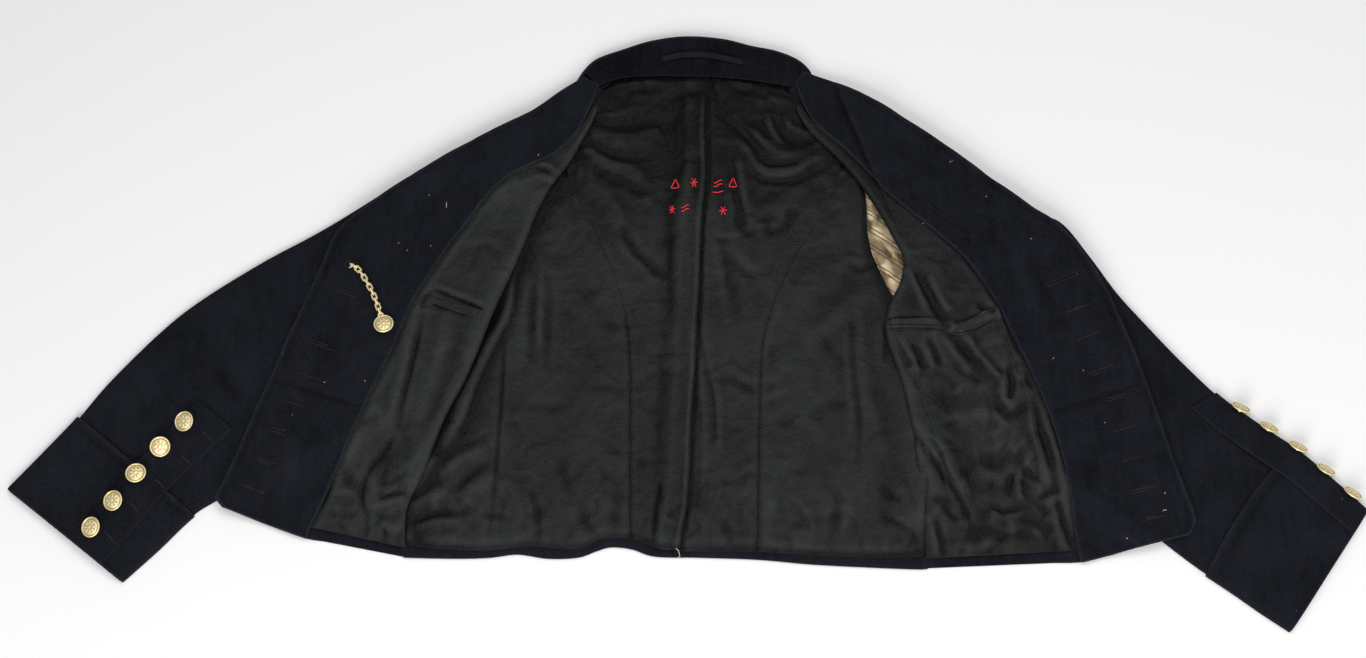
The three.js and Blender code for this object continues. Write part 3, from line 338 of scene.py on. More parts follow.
def shell(name, upper, lower, finish, wear_and_edge_highlight=0.35, shaded=0.0):
    """A closed wall of cloth between two grids. Its edge is a half round: rings go from the upper border to
    the lower one, and stand out by the sine of their angle times half the wall. Its points keep a painted
    highlight along the edge and a painted shade by how deep each lies in a fold; shaded adds painted shade,
    or painted light where it is below nothing, for cloth that lies tucked away or turned from the light. The
    points of the upper face are noted by its name, for the threads that rest on it."""
    rows, columns = upper.shape[:2]
    count = rows * columns
    numbers = np.arange(count).reshape(rows, columns)
    corners = [numbers[:-1, :-1], numbers[1:, :-1], numbers[1:, 1:], numbers[:-1, 1:]]
    quads = np.stack(corners, axis=2).reshape(-1, 4)
    rim = rim_of(upper)
    top, bottom = upper.reshape(-1, 3)[rim], lower.reshape(-1, 3)[rim]
    way = np.roll(top, -1, axis=0) - np.roll(top, 1, axis=0)
    wall = top - bottom
    out = np.cross(way, wall)
    out /= np.maximum(np.linalg.norm(out, axis=1, keepdims=True), 1e-9)
    outward = top - upper.reshape(-1, 3).mean(axis=0)
    side = np.sign(np.sum(out * outward))
    half = np.linalg.norm(wall, axis=1, keepdims=True) / 2
    rings = []
    for angle in np.linspace(0, np.pi, EDGE_RINGS + 2)[1:-1]:
        rings.append((top + bottom) / 2 + wall / 2 * np.cos(angle) + out * side * half * np.sin(angle))
    points = np.concatenate([upper.reshape(-1, 3), lower.reshape(-1, 3), *rings])
    between = [2 * count + i * len(rim) + np.arange(len(rim)) for i in range(EDGE_RINGS)]
    loops = [rim, *between, count + rim]
    sides = [np.stack([np.roll(a, -1), np.roll(b, -1), b, a], axis=1) for a, b in zip(loops[:-1], loops[1:])]
    faces = np.concatenate([quads, quads[:, ::-1] + count, *sides])
    points[:, 2] = np.maximum(points[:, 2], 0.0)
    surfaces[name] = upper.reshape(-1, 3)
    # Painted highlight along the edge: half strength on the border, full strength on the rounded rim.
    painted_edge_highlight = np.zeros(len(points))
    painted_edge_highlight[rim] = 0.5 * wear_and_edge_highlight
    painted_edge_highlight[2 * count:] = wear_and_edge_highlight
    # Painted shade kept at the upper face's points: how deep each lies in a fold, plus shaded.
    deep = np.zeros(len(points))
    deep[:count] = (hollow_of(upper) + shaded).ravel()
    return solid(name, points, faces, finish, {"painted_edge_highlight": painted_edge_highlight, "painted_fold_shade": deep})


def solid(name, points, faces, finish, marks):
    """A mesh object from points in table millimetres and faces of four corners, turned to face out: the sum
    of point times area over the faces is three times its volume, and where that is below nothing the faces
    are turned round. Marks are values kept at its points for the material."""
    placed_points = placed(points)
    a, b, c, d = (placed_points[faces[:, i]] for i in range(4))
    volume = np.sum((a + b + c + d) / 4 * np.cross(c - a, d - b)) / 6
    if volume < 0:
        faces = faces[:, ::-1]
    mesh = bpy.data.meshes.new(name)
    mesh.vertices.add(len(points))
    mesh.vertices.foreach_set("co", placed_points.astype(np.float32).ravel())
    mesh.loops.add(faces.size)
    mesh.loops.foreach_set("vertex_index", faces.astype(np.int32).ravel())
    mesh.polygons.add(len(faces))
    mesh.polygons.foreach_set("loop_start", np.arange(0, faces.size, 4, dtype=np.int32))
    mesh.polygons.foreach_set("use_smooth", np.ones(len(faces), bool))
    for mark, values in marks.items():
        mesh.attributes.new(mark, "FLOAT", "POINT").data.foreach_set("value", values.astype(np.float32))
    mesh.update(calc_edges=True)
    mesh.validate()
    mesh.materials.append(finish)
    piece = bpy.data.objects.new(name, mesh)
    bpy.context.scene.collection.objects.link(piece)
    return piece


def sewn_in(piece, node):
    """The piece takes the place of its solid: it is hung on the tunic, and the solid is hidden."""
    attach(piece, "tunic")
    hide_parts(node)


def under(grid, thickness):
    """The lower face of a wall: the upper face moved in along its normals."""
    return grid - normals_of(grid) * thickness


def ripple(x, y, seed, waves, reach):
    """Slow unevenness: a sum of sines with fixed random directions, phases and lengths about the reach."""
    dice = np.random.default_rng(seed)
    total = np.zeros_like(x)
    for _ in range(waves):
        angle, phase = dice.uniform(0, np.pi), dice.uniform(0, 2 * np.pi)
        length = reach * dice.uniform(0.6, 1.6)
        total += np.sin((x * np.cos(angle) + y * np.sin(angle)) * 2 * np.pi / length + phase)
    return total / waves


BACK_TOP = [
    (-186, 196), (-140, 219), (-100, 243), (-72, 255), (-36, 261), (0, 261.5), (38, 260), (70, 256),
    (110, 247), (165, 227), (216, 199),
]
BACK_HEM = [
    (-264, -247), (-213, -248), (-183, -247), (-157, -244), (-129, -248), (-101, -247), (-84, -241),
    (-70, -237), (-50, -239), (-28, -246), (12, -247), (68, -249), (125, -254), (209, -258), (226.8, -258),
]
BACK_LEFT_SIDE = [
    (-186, 196), (-187, 100), (-189, 5), (-208, -38), (-228, -78), (-242, -105), (-252, -135),
    (-262, -168), (-264, -205), (-264, -247),
]
BACK_RIGHT_SIDE = [
    (216, 199), (225, 100), (228, 60), (226, 20), (216, -20), (218, -50), (225, -78), (231, -110),
    (235, -167), (226.8, -212), (226.8, -258),
]
WOOL = 2.4
BACK_LENGTH = 500

back_flat = four_sided(BACK_TOP, BACK_HEM, BACK_LEFT_SIDE, BACK_RIGHT_SIDE, 110, 130)
back_down = np.linspace(0, 1, 130)[:, None]
back_hem_roll = 0.7 * bell((back_down - 0.99) * BACK_LENGTH, 6.0)
to_edge = np.minimum(back_down, 1 - back_down) * BACK_LENGTH
back_upper = lifted(back_flat, WOOL + back_hem_roll - 0.35 - 1.2 * smooth_step(to_edge, 22, 40))
back_lower = back_upper.copy()
back_lower[..., 2] = 0.0
back = shell("back_panel", back_upper, back_lower, navy_wool)
sewn_in(back, "back")

# The sleeves
# Each sleeve is cut in two: the under sleeve lies flat on the table, and the top sleeve arches over it from
# fold to fold. They are empty, so they lie nearly flat with soft dents.

SLEEVE_HEIGHT = 8.6
LEFT_SLEEVE = [
    (-190, 197, -197, 0), (-257, 160, -224, -42), (-354, 92, -268, -90), (-419, 52, -322, -120),
    (-477, 11, -370, -146), (-513, -22, -402, -164), (-557, -73, -436, -187), (-584, -111, -466, -207),
    (-613, -147, -497, -240), (-642, -182, -527, -270),
]
RIGHT_SLEEVE = [
    (222, 190, 240, 0), (277, 155, 254, -40), (345, 109, 282, -82), (376, 95, 300, -102),
    (402, 58, 318, -120), (426, 19, 345, -143), (453, -16, 375, -170), (479, -48, 405, -196),
    (512, -85, 442, -226), (547, -118, 478, -256), (584, -146, 512, -281), (613, -174, 537, -300),
    (643, -205, 561, -317),
]


def over_sleeve(sections, along, across, lift):
    """The arch of a sleeve: across it runs from edge to edge, and its height is a square-shouldered ellipse,
    the fourth root of one less the fourth power of the share of the half width."""
    rows = through(sections, along)
    outer, inner = rows[:, None, :2], rows[:, None, 2:]
    reach = (inner - outer) / 2
    half = np.linalg.norm(reach, axis=2, keepdims=True)
    side = 2 * across - 1
    side = side[None, :, None] if side.ndim == 1 else side[..., None]
    grid = side.shape[:-1] if side.shape[0] > 1 else (len(rows), side.shape[1])
    lift = np.broadcast_to(np.asarray(lift, float), grid)
    flat = (outer + inner) / 2 + reach * side * (half + lift[..., None]) / half
    arch = np.maximum(0.0, 1 - np.abs(side[..., 0]) ** 4) ** 0.25
    return lifted(flat, (SLEEVE_HEIGHT + lift) * arch)


def edge_to_edge(count):
    """Places across a sleeve, from 0 to 1 and closer together at its two folds: the square root of a cosine,
    with its sign."""
    c = np.cos(np.linspace(np.pi, 0, count))
    return (1 + np.sign(c) * np.sqrt(np.abs(c))) / 2


def line_distance(x, y, points):
    """The distance from each place to a smooth line, the same with the sign of its side, and how far along
    the line it lies, from 0 to 1."""
    dense = by_length(points, np.linspace(0, 1, 28))
    start, step = dense[:-1], np.diff(dense, axis=0)
    flat = np.stack([x.ravel(), y.ravel()], axis=1)
    nearest = np.full(len(flat), np.inf)
    signed, along = np.zeros(len(flat)), np.zeros(len(flat))
    for i in range(len(step)):
        reach = flat - start[i]
        s = np.clip(reach @ step[i] / (step[i] @ step[i]), 0, 1)
        distance = np.linalg.norm(reach - s[:, None] * step[i], axis=1)
        closer = distance < nearest
        side = np.sign(step[i, 0] * reach[:, 1] - step[i, 1] * reach[:, 0])
        nearest = np.where(closer, distance, nearest)
        signed = np.where(closer, side * distance, signed)
        along = np.where(closer, (i + s) / len(step), along)
    return nearest.reshape(x.shape), signed.reshape(x.shape), along.reshape(x.shape)


def creased(x, y, creases):
    """Listed folds: along each line the cloth rises or dips by its height, as a bell with its own width on
    the left and on the right of the line, and fades out towards both ends."""
    height = np.zeros_like(x)
    for points, rise, left_width, right_width in creases:
        away, signed, along = line_distance(x, y, points)
        width = np.where(signed > 0, left_width, right_width)
        fade = np.clip(1 - np.abs(2 * along - 1) ** 3, 0, 1)
        height += rise * fade * bell(away, width)
    return height


LEFT_SLEEVE_CREASES = [
    ([(-455, -60), (-440, -80), (-426, -98)], -1.2, 5, 7),
    ([(-360, 60), (-400, 20), (-450, -20)], -0.9, 16, 12),
    ([(-540, -40), (-520, -70), (-500, -95)], 0.8, 10, 14),
    ([(-480, -40), (-500, -80), (-505, -120)], -0.7, 12, 16),
    ([(-600, -150), (-570, -190), (-548, -215)], 0.6, 12, 12),
]
RIGHT_SLEEVE_CREASES = [
    ([(420, 0), (450, -50), (470, -110)], -1.0, 12, 14),
    ([(480, -75), (470, -110), (440, -150)], 0.8, 10, 10),
    ([(520, -140), (500, -180), (470, -210)], -0.8, 12, 14),
    ([(560, -170), (550, -220), (530, -260)], 0.7, 16, 14),
    ([(400, -60), (420, -110), (420, -160)], 0.7, 10, 14),
]


def relief_of(x, y, creases, seed):
    """The rise and fall of a sleeve's cloth: its creases, a slow ripple and a quicker one."""
    slow, quick = ripple(x, y, seed, 9, 95.0), ripple(x, y, seed + 1, 9, 34.0)
    return creased(x, y, creases) + 0.9 * slow + 0.35 * quick


def off_the_folds(across):
    """1 on most of a sleeve's width and 0 at its two folds: one less the sixth power of the share of the
    half width."""
    return np.clip(1 - np.abs(2 * across - 1) ** 6, 0, 1)


def cut_sleeve(name, sections, creases, seed):
    """The top sleeve and the under sleeve of one arm, each a wall of wool."""
    end = len(sections) - 1
    along, across = np.linspace(0, end, 190), edge_to_edge(64)
    upper = over_sleeve(sections, along, across, 0.0)
    x, y = upper[..., 0], upper[..., 1]
    middle = off_the_folds(across)[None]
    relief = relief_of(x, y, creases, seed)
    lower = over_sleeve(sections, along, across, -WOOL)
    upper[..., 2] += relief * middle - 0.5 * middle
    lower[..., 2] += np.minimum(relief * middle - 0.5 * middle, 0.4)
    top_sleeve = shell(f"top_sleeve_{name}_wool", upper, lower, navy_wool)
    sewn_in(top_sleeve, f"top_sleeve_{name}")
    inset = over_sleeve(sections, along[::3], np.array([0.0, 1.0]), -(WOOL + 1.5))
    share = np.linspace(0, 1, 30)[None, :, None]
    flat = inset[:, :1, :2] * (1 - share) + inset[:, 1:, :2] * share
    under_sleeve = shell(f"under_sleeve_{name}_wool", lifted(flat, WOOL), lifted(flat, 0.0), navy_wool)
    sewn_in(under_sleeve, f"under_sleeve_{name}")


cut_sleeve("left", LEFT_SLEEVE, LEFT_SLEEVE_CREASES, 11)
cut_sleeve("right", RIGHT_SLEEVE, RIGHT_SLEEVE_CREASES, 23)

# The deep cuffs
# A second layer of wool is laid over the end of each sleeve, seamed on with its edge turned in, so that it
# stands a little proud. A strip for the buttons is stitched along it.

CUFF = 1.8
GAP = 0.3
LEFT_CUFF = (7.0, 7.0, 0.0)
RIGHT_CUFF = (9.9, 9.3, -0.14)
LEFT_STRIP = {"top": (5.2, 5.02), "top_across": (0.47, 0.71), "end": 9.0, "end_across": (0.574, 0.83)}
RIGHT_STRIP = {"top": (8.05, 7.7), "top_across": (0.0, 0.2), "end": 12.0, "end_across": (0.0, 0.21)}


def cuff_sheet(name, sections, start, creases, seed):
    """The cuff follows the arch of the sleeve, a wall higher, from a slanting seam to the sleeve's end."""
    end = len(sections) - 1
    across = edge_to_edge(64)
    share = np.linspace(0, 1, 70)
    begin = start[0] * (1 - across) + start[1] * across + start[2] * 4 * across * (1 - across)
    grid_along = begin[None] * (1 - share[:, None]) + end * share[:, None]

    def face(lift):
        """The grid of the cuff at a lift above the sleeve, worked out column by column."""
        columns = []
        for i in range(len(across)):
            columns.append(over_sleeve(sections, grid_along[:, i], across[i:i + 1], lift)[:, 0])
        return np.stack(columns, axis=1)

    upper, lower = face(GAP + CUFF), face(GAP)
    x, y = upper[..., 0], upper[..., 1]
    middle = off_the_folds(across)[None]
    relief = relief_of(x, y, creases, seed)
    down = share[:, None] * 70
    turned_in = 0.9 * bell(down, 2.2) - 0.5 * bell(down - 5.5, 2.0)
    turned_in = turned_in + 0.5 * bell((1 - share[:, None]) * 70, 2.5)
    upper[..., 2] += (relief - 0.5 + turned_in) * middle
    lower[..., 2] += (relief - 0.5) * middle
    # The cuff gets a stronger painted highlight along its edge.
    cuff = shell(f"cuff_{name}_wool", upper, lower, navy_wool, wear_and_edge_highlight=0.6)
    sewn_in(cuff, f"cuff_{name}")


cuff_sheet("left", LEFT_SLEEVE, LEFT_CUFF, LEFT_SLEEVE_CREASES, 11)
cuff_sheet("right", RIGHT_SLEEVE, RIGHT_CUFF, RIGHT_SLEEVE_CREASES, 23)


def strip_lift(start, along):
    """How far a strip stands off the sleeve: it climbs by a wall on to the cuff just before its seam."""
    return GAP + (CUFF + GAP) * smooth_step(along, min(start[:2]) - 1.2, min(start[:2]) - 0.2)


def button_strip(name, sections, strip, start, seed, creases):
    """A straight strip: its two edges run along the sleeve at their own shares of its width, and each starts
    at its own place, so that the end slants. It is worked out column by column."""
    v = np.linspace(0, 1, 90)
    near = strip["top_across"][0] * (1 - v) + strip["end_across"][0] * v
    far = strip["top_across"][1] * (1 - v) + strip["end_across"][1] * v
    share = np.linspace(0, 1, 22) ** (1.6 if strip["top_across"][0] == 0 else 1.0)
    begin = strip["top"][0] * (1 - share) + strip["top"][1] * share
    along = begin[None] * (1 - v[:, None]) + strip["end"] * v[:, None]
    faces = []
    for thick in (CUFF, 0.0):
        columns = []
        for i in range(22):
            here = (near * (1 - share[i]) + far * share[i])[:, None]
            lift = strip_lift(start, along[:, i:i + 1]) + thick
            columns.append(over_sleeve(sections, along[:, i], here, lift)[:, 0])
        faces.append(np.stack(columns, axis=1))
    upper, lower = faces
    x, y = upper[..., 0], upper[..., 1]
    across = near[:, None] * (1 - share) + far[:, None] * share
    middle = off_the_folds(across)
    relief = relief_of(x, y, creases, seed) - 0.5
    upper[..., 2] += relief * middle
    lower[..., 2] += relief * middle
    piece = shell(f"button_strip_{name}", upper, lower, navy_wool)
    sewn_in(piece, f"cuff_strip_{name}")


button_strip("left", LEFT_SLEEVE, LEFT_STRIP, LEFT_CUFF, 11, LEFT_SLEEVE_CREASES)
button_strip("right", RIGHT_SLEEVE, RIGHT_STRIP, RIGHT_CUFF, 23, RIGHT_SLEEVE_CREASES)

# The lining of the back
# Loose black sateen in four panels. A pleat runs down the middle for ease, and the cloth falls in soft folds
# from the shoulders, with long creases above the hem.


def sateen(name, dark, light, rough):
    """Close satin-woven cotton: very fine ribs, slow unevenness of tone and a trace of lines where it was
    crushed.
    Its colour goes by a weighted sum of the noises, less a painted shade by the depth of the folds."""
    material, wire, shader = new_finish(name)
    place = wire.node("TexCoord", out=3)
    slow = wire.noise(place, 14.0, 4.0, 0.55)
    fine = wire.noise(place, 420.0, 3.0, 0.7)
    rib_place = wire.node("Mapping", {"vector_type": "TEXTURE"}, {"Vector": place, "Scale": (1.0, 9.0, 9.0)})
    rib = wire.noise(rib_place, 1900.0, 2.0)
    # Painted shade: the sateen is coloured darker the deeper it lies in a fold.
    painted_fold_shade = wire.kept("painted_fold_shade")
    warp = {"Vector": place, "Scale": 55.0, "Detail": 6.0, "Roughness": 0.6, "Distortion": 0.9}
    crushed = wire.node("TexNoise", None, warp)
    bend = {"Vector": place, "Scale": 30.0, "Detail": 4.0, "Roughness": 0.5, "Distortion": 1.4}
    bent = wire.node("TexNoise", None, bend)
    lines = 1.0 - wire.maths("ABSOLUTE", bent - 0.5).between(0.0, 0.035)
    tone = (slow * 1.1 + fine * 0.6 + rib * 0.4 + lines * 0.1 - painted_fold_shade * 0.6 - 0.62).held()
    dents = (crushed + lines * 0.12).bump(0.6, 0.0035)
    ribbed = {"Height": rib * 0.5 + fine * 0.6, "Strength": 0.45, "Distance": 0.0003, "Normal": dents}
    bump = wire.node("Bump", None, ribbed)
    constants = {
        "Specular IOR Level": 0.12, "Sheen Weight": 0.015, "Sheen Roughness": 0.3,
        "Sheen Tint": (0.86, 0.92, 0.88, 1.0),
    }
    uneven = slow * 0.14 + fine * 0.1 + (rough - 0.1)
    wires = {"Base Color": tone.colours(dark, light), "Roughness": uneven, "Normal": bump}
    return finished(material, shader, constants, wires)


black_sateen = sateen("black_sateen", (0.0018, 0.0022, 0.0021), (0.0244, 0.0270, 0.0258), 0.46)

LINING = 1.2
LINING_TOP = WOOL + GAP + LINING
UNDERLAP = 14.0
PLEAT = [
    (24, 259.5), (20, 199), (21, 147), (16, 90), (13, 10), (10, -55), (6, -119), (3, -190), (-3, -225),
    (-5, -241),
]
LEFT_SEAM = [
    (-82, 245), (-91, 229), (-104, 207), (-114, 184), (-118, 152), (-108, 124), (-94, 96), (-80, 64),
    (-67, 30), (-57, -10), (-53, -60), (-52, -140), (-51, -229),
]
RIGHT_SEAM = [
    (105, 245), (114, 230), (125, 212), (140, 190), (157, 166), (150, 134), (134, 100), (115, 68),
    (96, 30), (82, -8), (74, -50), (70, -140), (67, -242),
]
LEFT_TUCK = [
    (-126, 152), (-136, 130), (-150, 101), (-161, 73), (-173, 43), (-183, 16), (-193, -12), (-207, -42),
    (-223, -78), (-237, -105), (-247, -135), (-259, -168), (-262.4, -205), (-262.4, -236),
]
RIGHT_TUCK = [
    (168, 160), (178, 134), (181, 114), (181, 78), (186, 52), (195, 32), (205, 10), (208, -20), (214, -52),
    (222, -78), (228, -110), (232, -160), (225.4, -205), (225.4, -247),
]
LEFT_NECK = [(-82, 245), (-70, 254), (-40, 260.5), (-8, 261), (24, 259.5)]
RIGHT_NECK = [(10, 260), (30, 260), (64, 256.5), (88, 251), (105, 245)]
LEFT_BACK_HEM = [(-51, -229), (-38, -234), (-22, -241), (-5, -241)]
RIGHT_BACK_HEM = [(-19, -241), (14, -242), (67, -242)]
LEFT_SIDE_HEM = [
    (-262.4, -236), (-225, -240), (-184, -241), (-146, -237), (-102, -240), (-80, -230), (-51, -229),
]
RIGHT_SIDE_HEM = [(67, -242), (108, -245), (170, -248), (225.4, -247)]

BACK_CREASES = [
    ([(-98, 219), (-84, 207), (-58, 203), (-34, 207), (-14, 205), (-4, 222)], -3.4, 9, 7),
    ([(-90, 212), (-74, 214), (-60, 219), (-46, 228)], 2.4, 5, 5),
    ([(-96, 196), (-78, 189), (-56, 187), (-38, 191), (-22, 200)], 3.4, 6, 10),
    ([(-103, 190), (-84, 174), (-60, 167), (-34, 168)], -2.4, 6, 6),
    ([(-100, 182), (-90, 170), (-78, 160), (-58, 155), (-38, 142)], 3.2, 5, 8),
    ([(-94, 158), (-80, 148), (-60, 138), (-36, 124)], -2.4, 5, 7),
    ([(-96, 140), (-84, 126), (-70, 110), (-61, 88)], 3.4, 7, 10),
    ([(-64, 88), (-52, 68), (-36, 50), (-16, 32)], -3.0, 5, 6),
    ([(-70, 82), (-56, 60), (-42, 44), (-26, 22)], 1.8, 8, 6),
    ([(-106, 208), (-110, 180), (-113, 150), (-112, 120)], -2.6, 9, 5),
    ([(-104, 176), (-107, 150), (-106, 126)], 1.2, 4, 6),
    ([(-128, 66), (-108, 36), (-88, 8), (-66, -28)], -3.0, 15, 10),
    ([(-112, 60), (-92, 28), (-76, 2), (-58, -34)], 2.2, 10, 12),
    ([(-5, 232), (-4, 204), (-3, 173), (-5, 142)], -2.4, 9, 3),
    ([(-32, 224), (-12, 234), (8, 240), (25, 241)], -2.4, 4, 5),
    ([(-74, 248), (-44, 250), (-16, 248), (12, 252)], 2.2, 4, 6),
    ([(-58, 234), (-34, 236), (-10, 242)], 1.6, 5, 4),
    ([(-46, 256), (-44, 246), (-42, 238)], -1.4, 4, 3),
    ([(-22, 226), (-12, 214), (-8, 200)], -1.6, 6, 4),
    ([(-34, 214), (-22, 200), (-12, 176), (-8, 158)], -1.5, 7, 5),
    ([(28, 257), (26, 247), (28, 238), (33, 228)], -3.0, 4, 2.5),
    ([(40, 238), (36, 222), (41, 206)], -2.0, 5, 5),
    ([(40, 226), (46, 208), (60, 196), (70, 178), (78, 160)], -3.4, 6, 6),
    ([(28, 192), (34, 185), (50, 183), (61, 177), (69, 164), (78, 152), (90, 149), (106, 151),
     (122, 159), (142, 170)], 4.2, 6, 5),
    ([(66, 152), (78, 143), (92, 140), (108, 141), (126, 148), (142, 156)], -3.2, 4, 5),
    ([(58, 176), (72, 164), (84, 159), (102, 159), (122, 166)], -2.6, 4, 5),
    ([(42, 218), (58, 202), (74, 189), (90, 175), (106, 168), (128, 172)], 3.6, 6, 5),
    ([(82, 218), (86, 203), (94, 188), (104, 178)], 3.0, 4, 5),
    ([(74, 212), (80, 196), (88, 184)], -2.0, 4, 4),
    ([(92, 216), (98, 197), (112, 186), (134, 186)], -3.2, 5, 6),
    ([(98, 211), (112, 199), (130, 192)], 2.0, 4, 4),
    ([(42, 252), (54, 245), (70, 238)], -2.6, 4, 4),
    ([(60, 238), (78, 229), (92, 232), (114, 224)], 2.6, 5, 5),
    ([(78, 240), (90, 222), (104, 214)], -1.8, 4, 5),
    ([(44, 246), (58, 252), (78, 250)], 1.8, 3, 4),
    ([(46, 172), (50, 140), (55, 108), (62, 92)], -2.4, 5, 5),
    ([(54, 172), (56, 146), (60, 118), (66, 104)], 2.4, 4, 7),
    ([(52, 112), (57, 87), (73, 80)], -2.0, 5, 5),
    ([(76, 101), (86, 86), (99, 91), (113, 111)], -2.2, 5, 6),
    ([(62, 114), (76, 106), (99, 113), (121, 135)], 2.6, 8, 6),
    ([(124, 140), (140, 116), (146, 88)], -1.8, 9, 8),
    ([(32, 90), (38, 60), (44, 30), (54, -16)], -2.4, 7, 7),
    ([(42, 60), (56, 42), (74, 38), (92, 46)], -1.8, 6, 6),
    ([(30, 130), (31, 90), (36, 40), (44, -4)], 1.6, 6, 8),
    ([(52, 68), (60, 50), (80, 30), (88, 4)], 1.4, 8, 8),
    ([(100, 30), (120, 50), (146, 62), (172, 66)], -1.6, 8, 10),
    ([(160, 52), (172, 44), (184, 48)], -1.6, 4, 4),
    ([(-148, 36), (-151, 5), (-150, -30), (-150, -60)], -1.5, 6, 4),
    ([(-136, 40), (-133, 8), (-137, -62)], -1.2, 4, 6),
    ([(-143, 60), (-142, 20), (-143, -40)], 1.8, 4, 5),
    ([(-160, 50), (-162, 0), (-160, -60)], 1.2, 8, 6),
    ([(176, 44), (152, 22), (130, 2), (108, -18), (88, -42), (74, -64)], -2.6, 12, 12),
    ([(188, 16), (160, 0), (136, -22), (116, -44)], 1.8, 10, 12),
    ([(96, 8), (78, -10), (64, -30)], 1.3, 10, 10),
    ([(14, -18), (17, -44), (22, -70), (27, -96), (28, -150)], -1.7, 2.2, 6),
    ([(9, -50), (12, -100), (11, -160), (8, -216)], -2.2, 4, 6),
    ([(30, -60), (34, -100), (33, -150)], 1.2, 4, 8),
    ([(165, 14), (163, -50), (168, -110), (165, -162)], -1.2, 2.4, 5),
    ([(172, 12), (173, -50), (174, -130)], 0.9, 5, 8),
    ([(158, 0), (158, -60), (160, -130)], 0.9, 6, 4),
    ([(196, -12), (196, -34), (195, -56)], -1.6, 2, 3),
    ([(-23, -174), (-29, -208), (-31, -240)], -2.2, 4, 2.5),
    ([(-16, -180), (-21, -212), (-24, -238)], 1.2, 4, 4),
    ([(-146, -180), (-144, -194), (-139, -212), (-140, -240)], -1.9, 4, 3),
    ([(-192, -208), (-166, -210)], -1.4, 3, 3),
    ([(-60, -176), (-66, -200), (-70, -230)], -1.1, 6, 5),
    ([(-100, -190), (-94, -214), (-82, -230)], -1.3, 5, 5),
    ([(-88, -178), (-74, -196), (-48, -206), (-34, -214)], 1.2, 6, 7),
    ([(-84, -112), (-66, -96), (-46, -102), (-30, -120)], 1.0, 5, 7),
    ([(-82, -144), (-60, -146), (-40, -156), (-26, -150)], -0.9, 4, 5),
    ([(-100, -80), (-66, -82), (-30, -80)], -0.9, 4, 3),
    ([(-156, -98), (-128, -102), (-108, -96)], -1.0, 5, 5),
    ([(-176, -118), (-160, -117)], -0.9, 3, 3),
    ([(-120, -150), (-112, -176), (-104, -204)], -1.0, 5, 7),
    ([(-170, -170), (-158, -196), (-160, -226)], 1.0, 7, 7),
    ([(20, -74), (44, -72), (62, -82), (86, -78), (104, -62)], -1.3, 5, 5),
    ([(44, -56), (54, -68), (72, -76)], 1.0, 4, 5),
    ([(30, -172), (46, -176), (64, -168), (84, -170)], -1.0, 4, 4),
    ([(96, -164), (110, -166), (122, -160)], -0.8, 3, 3),
    ([(112, -210), (130, -214), (150, -204)], -1.0, 6, 6),
    ([(120, -112), (140, -98), (160, -96)], -1.1, 6, 8),
    ([(132, -20), (144, -44), (158, -60)], -1.2, 6, 6),
    ([(34, -206), (40, -226), (42, -240)], -1.3, 4, 4),
    ([(186, -176), (192, -188), (206, -196)], -1.3, 4, 4),
    ([(184, -208), (196, -214), (212, -228)], -1.6, 3, 4),
    ([(178, -96), (186, -130), (196, -170)], 1.1, 6, 7),
    ([(60, -100), (84, -96), (100, -88)], -1.0, 4, 5),
    ([(-42, -12), (-60, -18), (-84, -14)], -0.9, 4, 5),
    ([(-28, -62), (-10, -68), (4, -60)], -0.8, 4, 4),
    ([(-14, 86), (-15, 40), (-14, -30)], -1.0, 5, 3),
    ([(5, 86), (3, 20), (3, -60)], 0.9, 4, 4),
    ([(150, -186), (142, -206), (146, -226)], -0.9, 5, 5),
    ([(86, -178), (78, -206), (74, -236)], 0.9, 6, 6),
]


def crumpled(x, y, seed, number, region, length, rise, heading, width):
    """Many small wrinkles: each is a bowed bell with its own place in the region, its own length, height and
    width, and a direction near the heading. Its steeper side is the one towards the hem."""
    dice = np.random.default_rng(seed)
    total = np.zeros_like(x)
    for _ in range(number):
        place_x, place_y = dice.uniform(region[0], region[2]), dice.uniform(region[1], region[3])
        turn = np.radians(heading + 24 * dice.normal())
        long, high = length * dice.uniform(0.4, 1.5), rise * dice.uniform(-1.0, 1.0)
        wide, bow = width * dice.uniform(0.6, 1.5), dice.uniform(-0.6, 0.6) / length
        u = (x - place_x) * np.cos(turn) + (y - place_y) * np.sin(turn)
        v = (y - place_y) * np.cos(turn) - (x - place_x) * np.sin(turn) + bow * u**2
        total += high * np.exp(-((u / long) ** 2) - (v / np.where(v > 0, wide, 0.55 * wide)) ** 2)
    return total


def seam_dip(across, width):
    """A seam draws the lining down: one bell at each side edge of a panel, in shares of its width."""
    return -0.55 * (bell(across * width, 2.4) + bell((1 - across) * width, 2.4))


LINING_FLOOR = 2.9
PANEL_LENGTH = 480


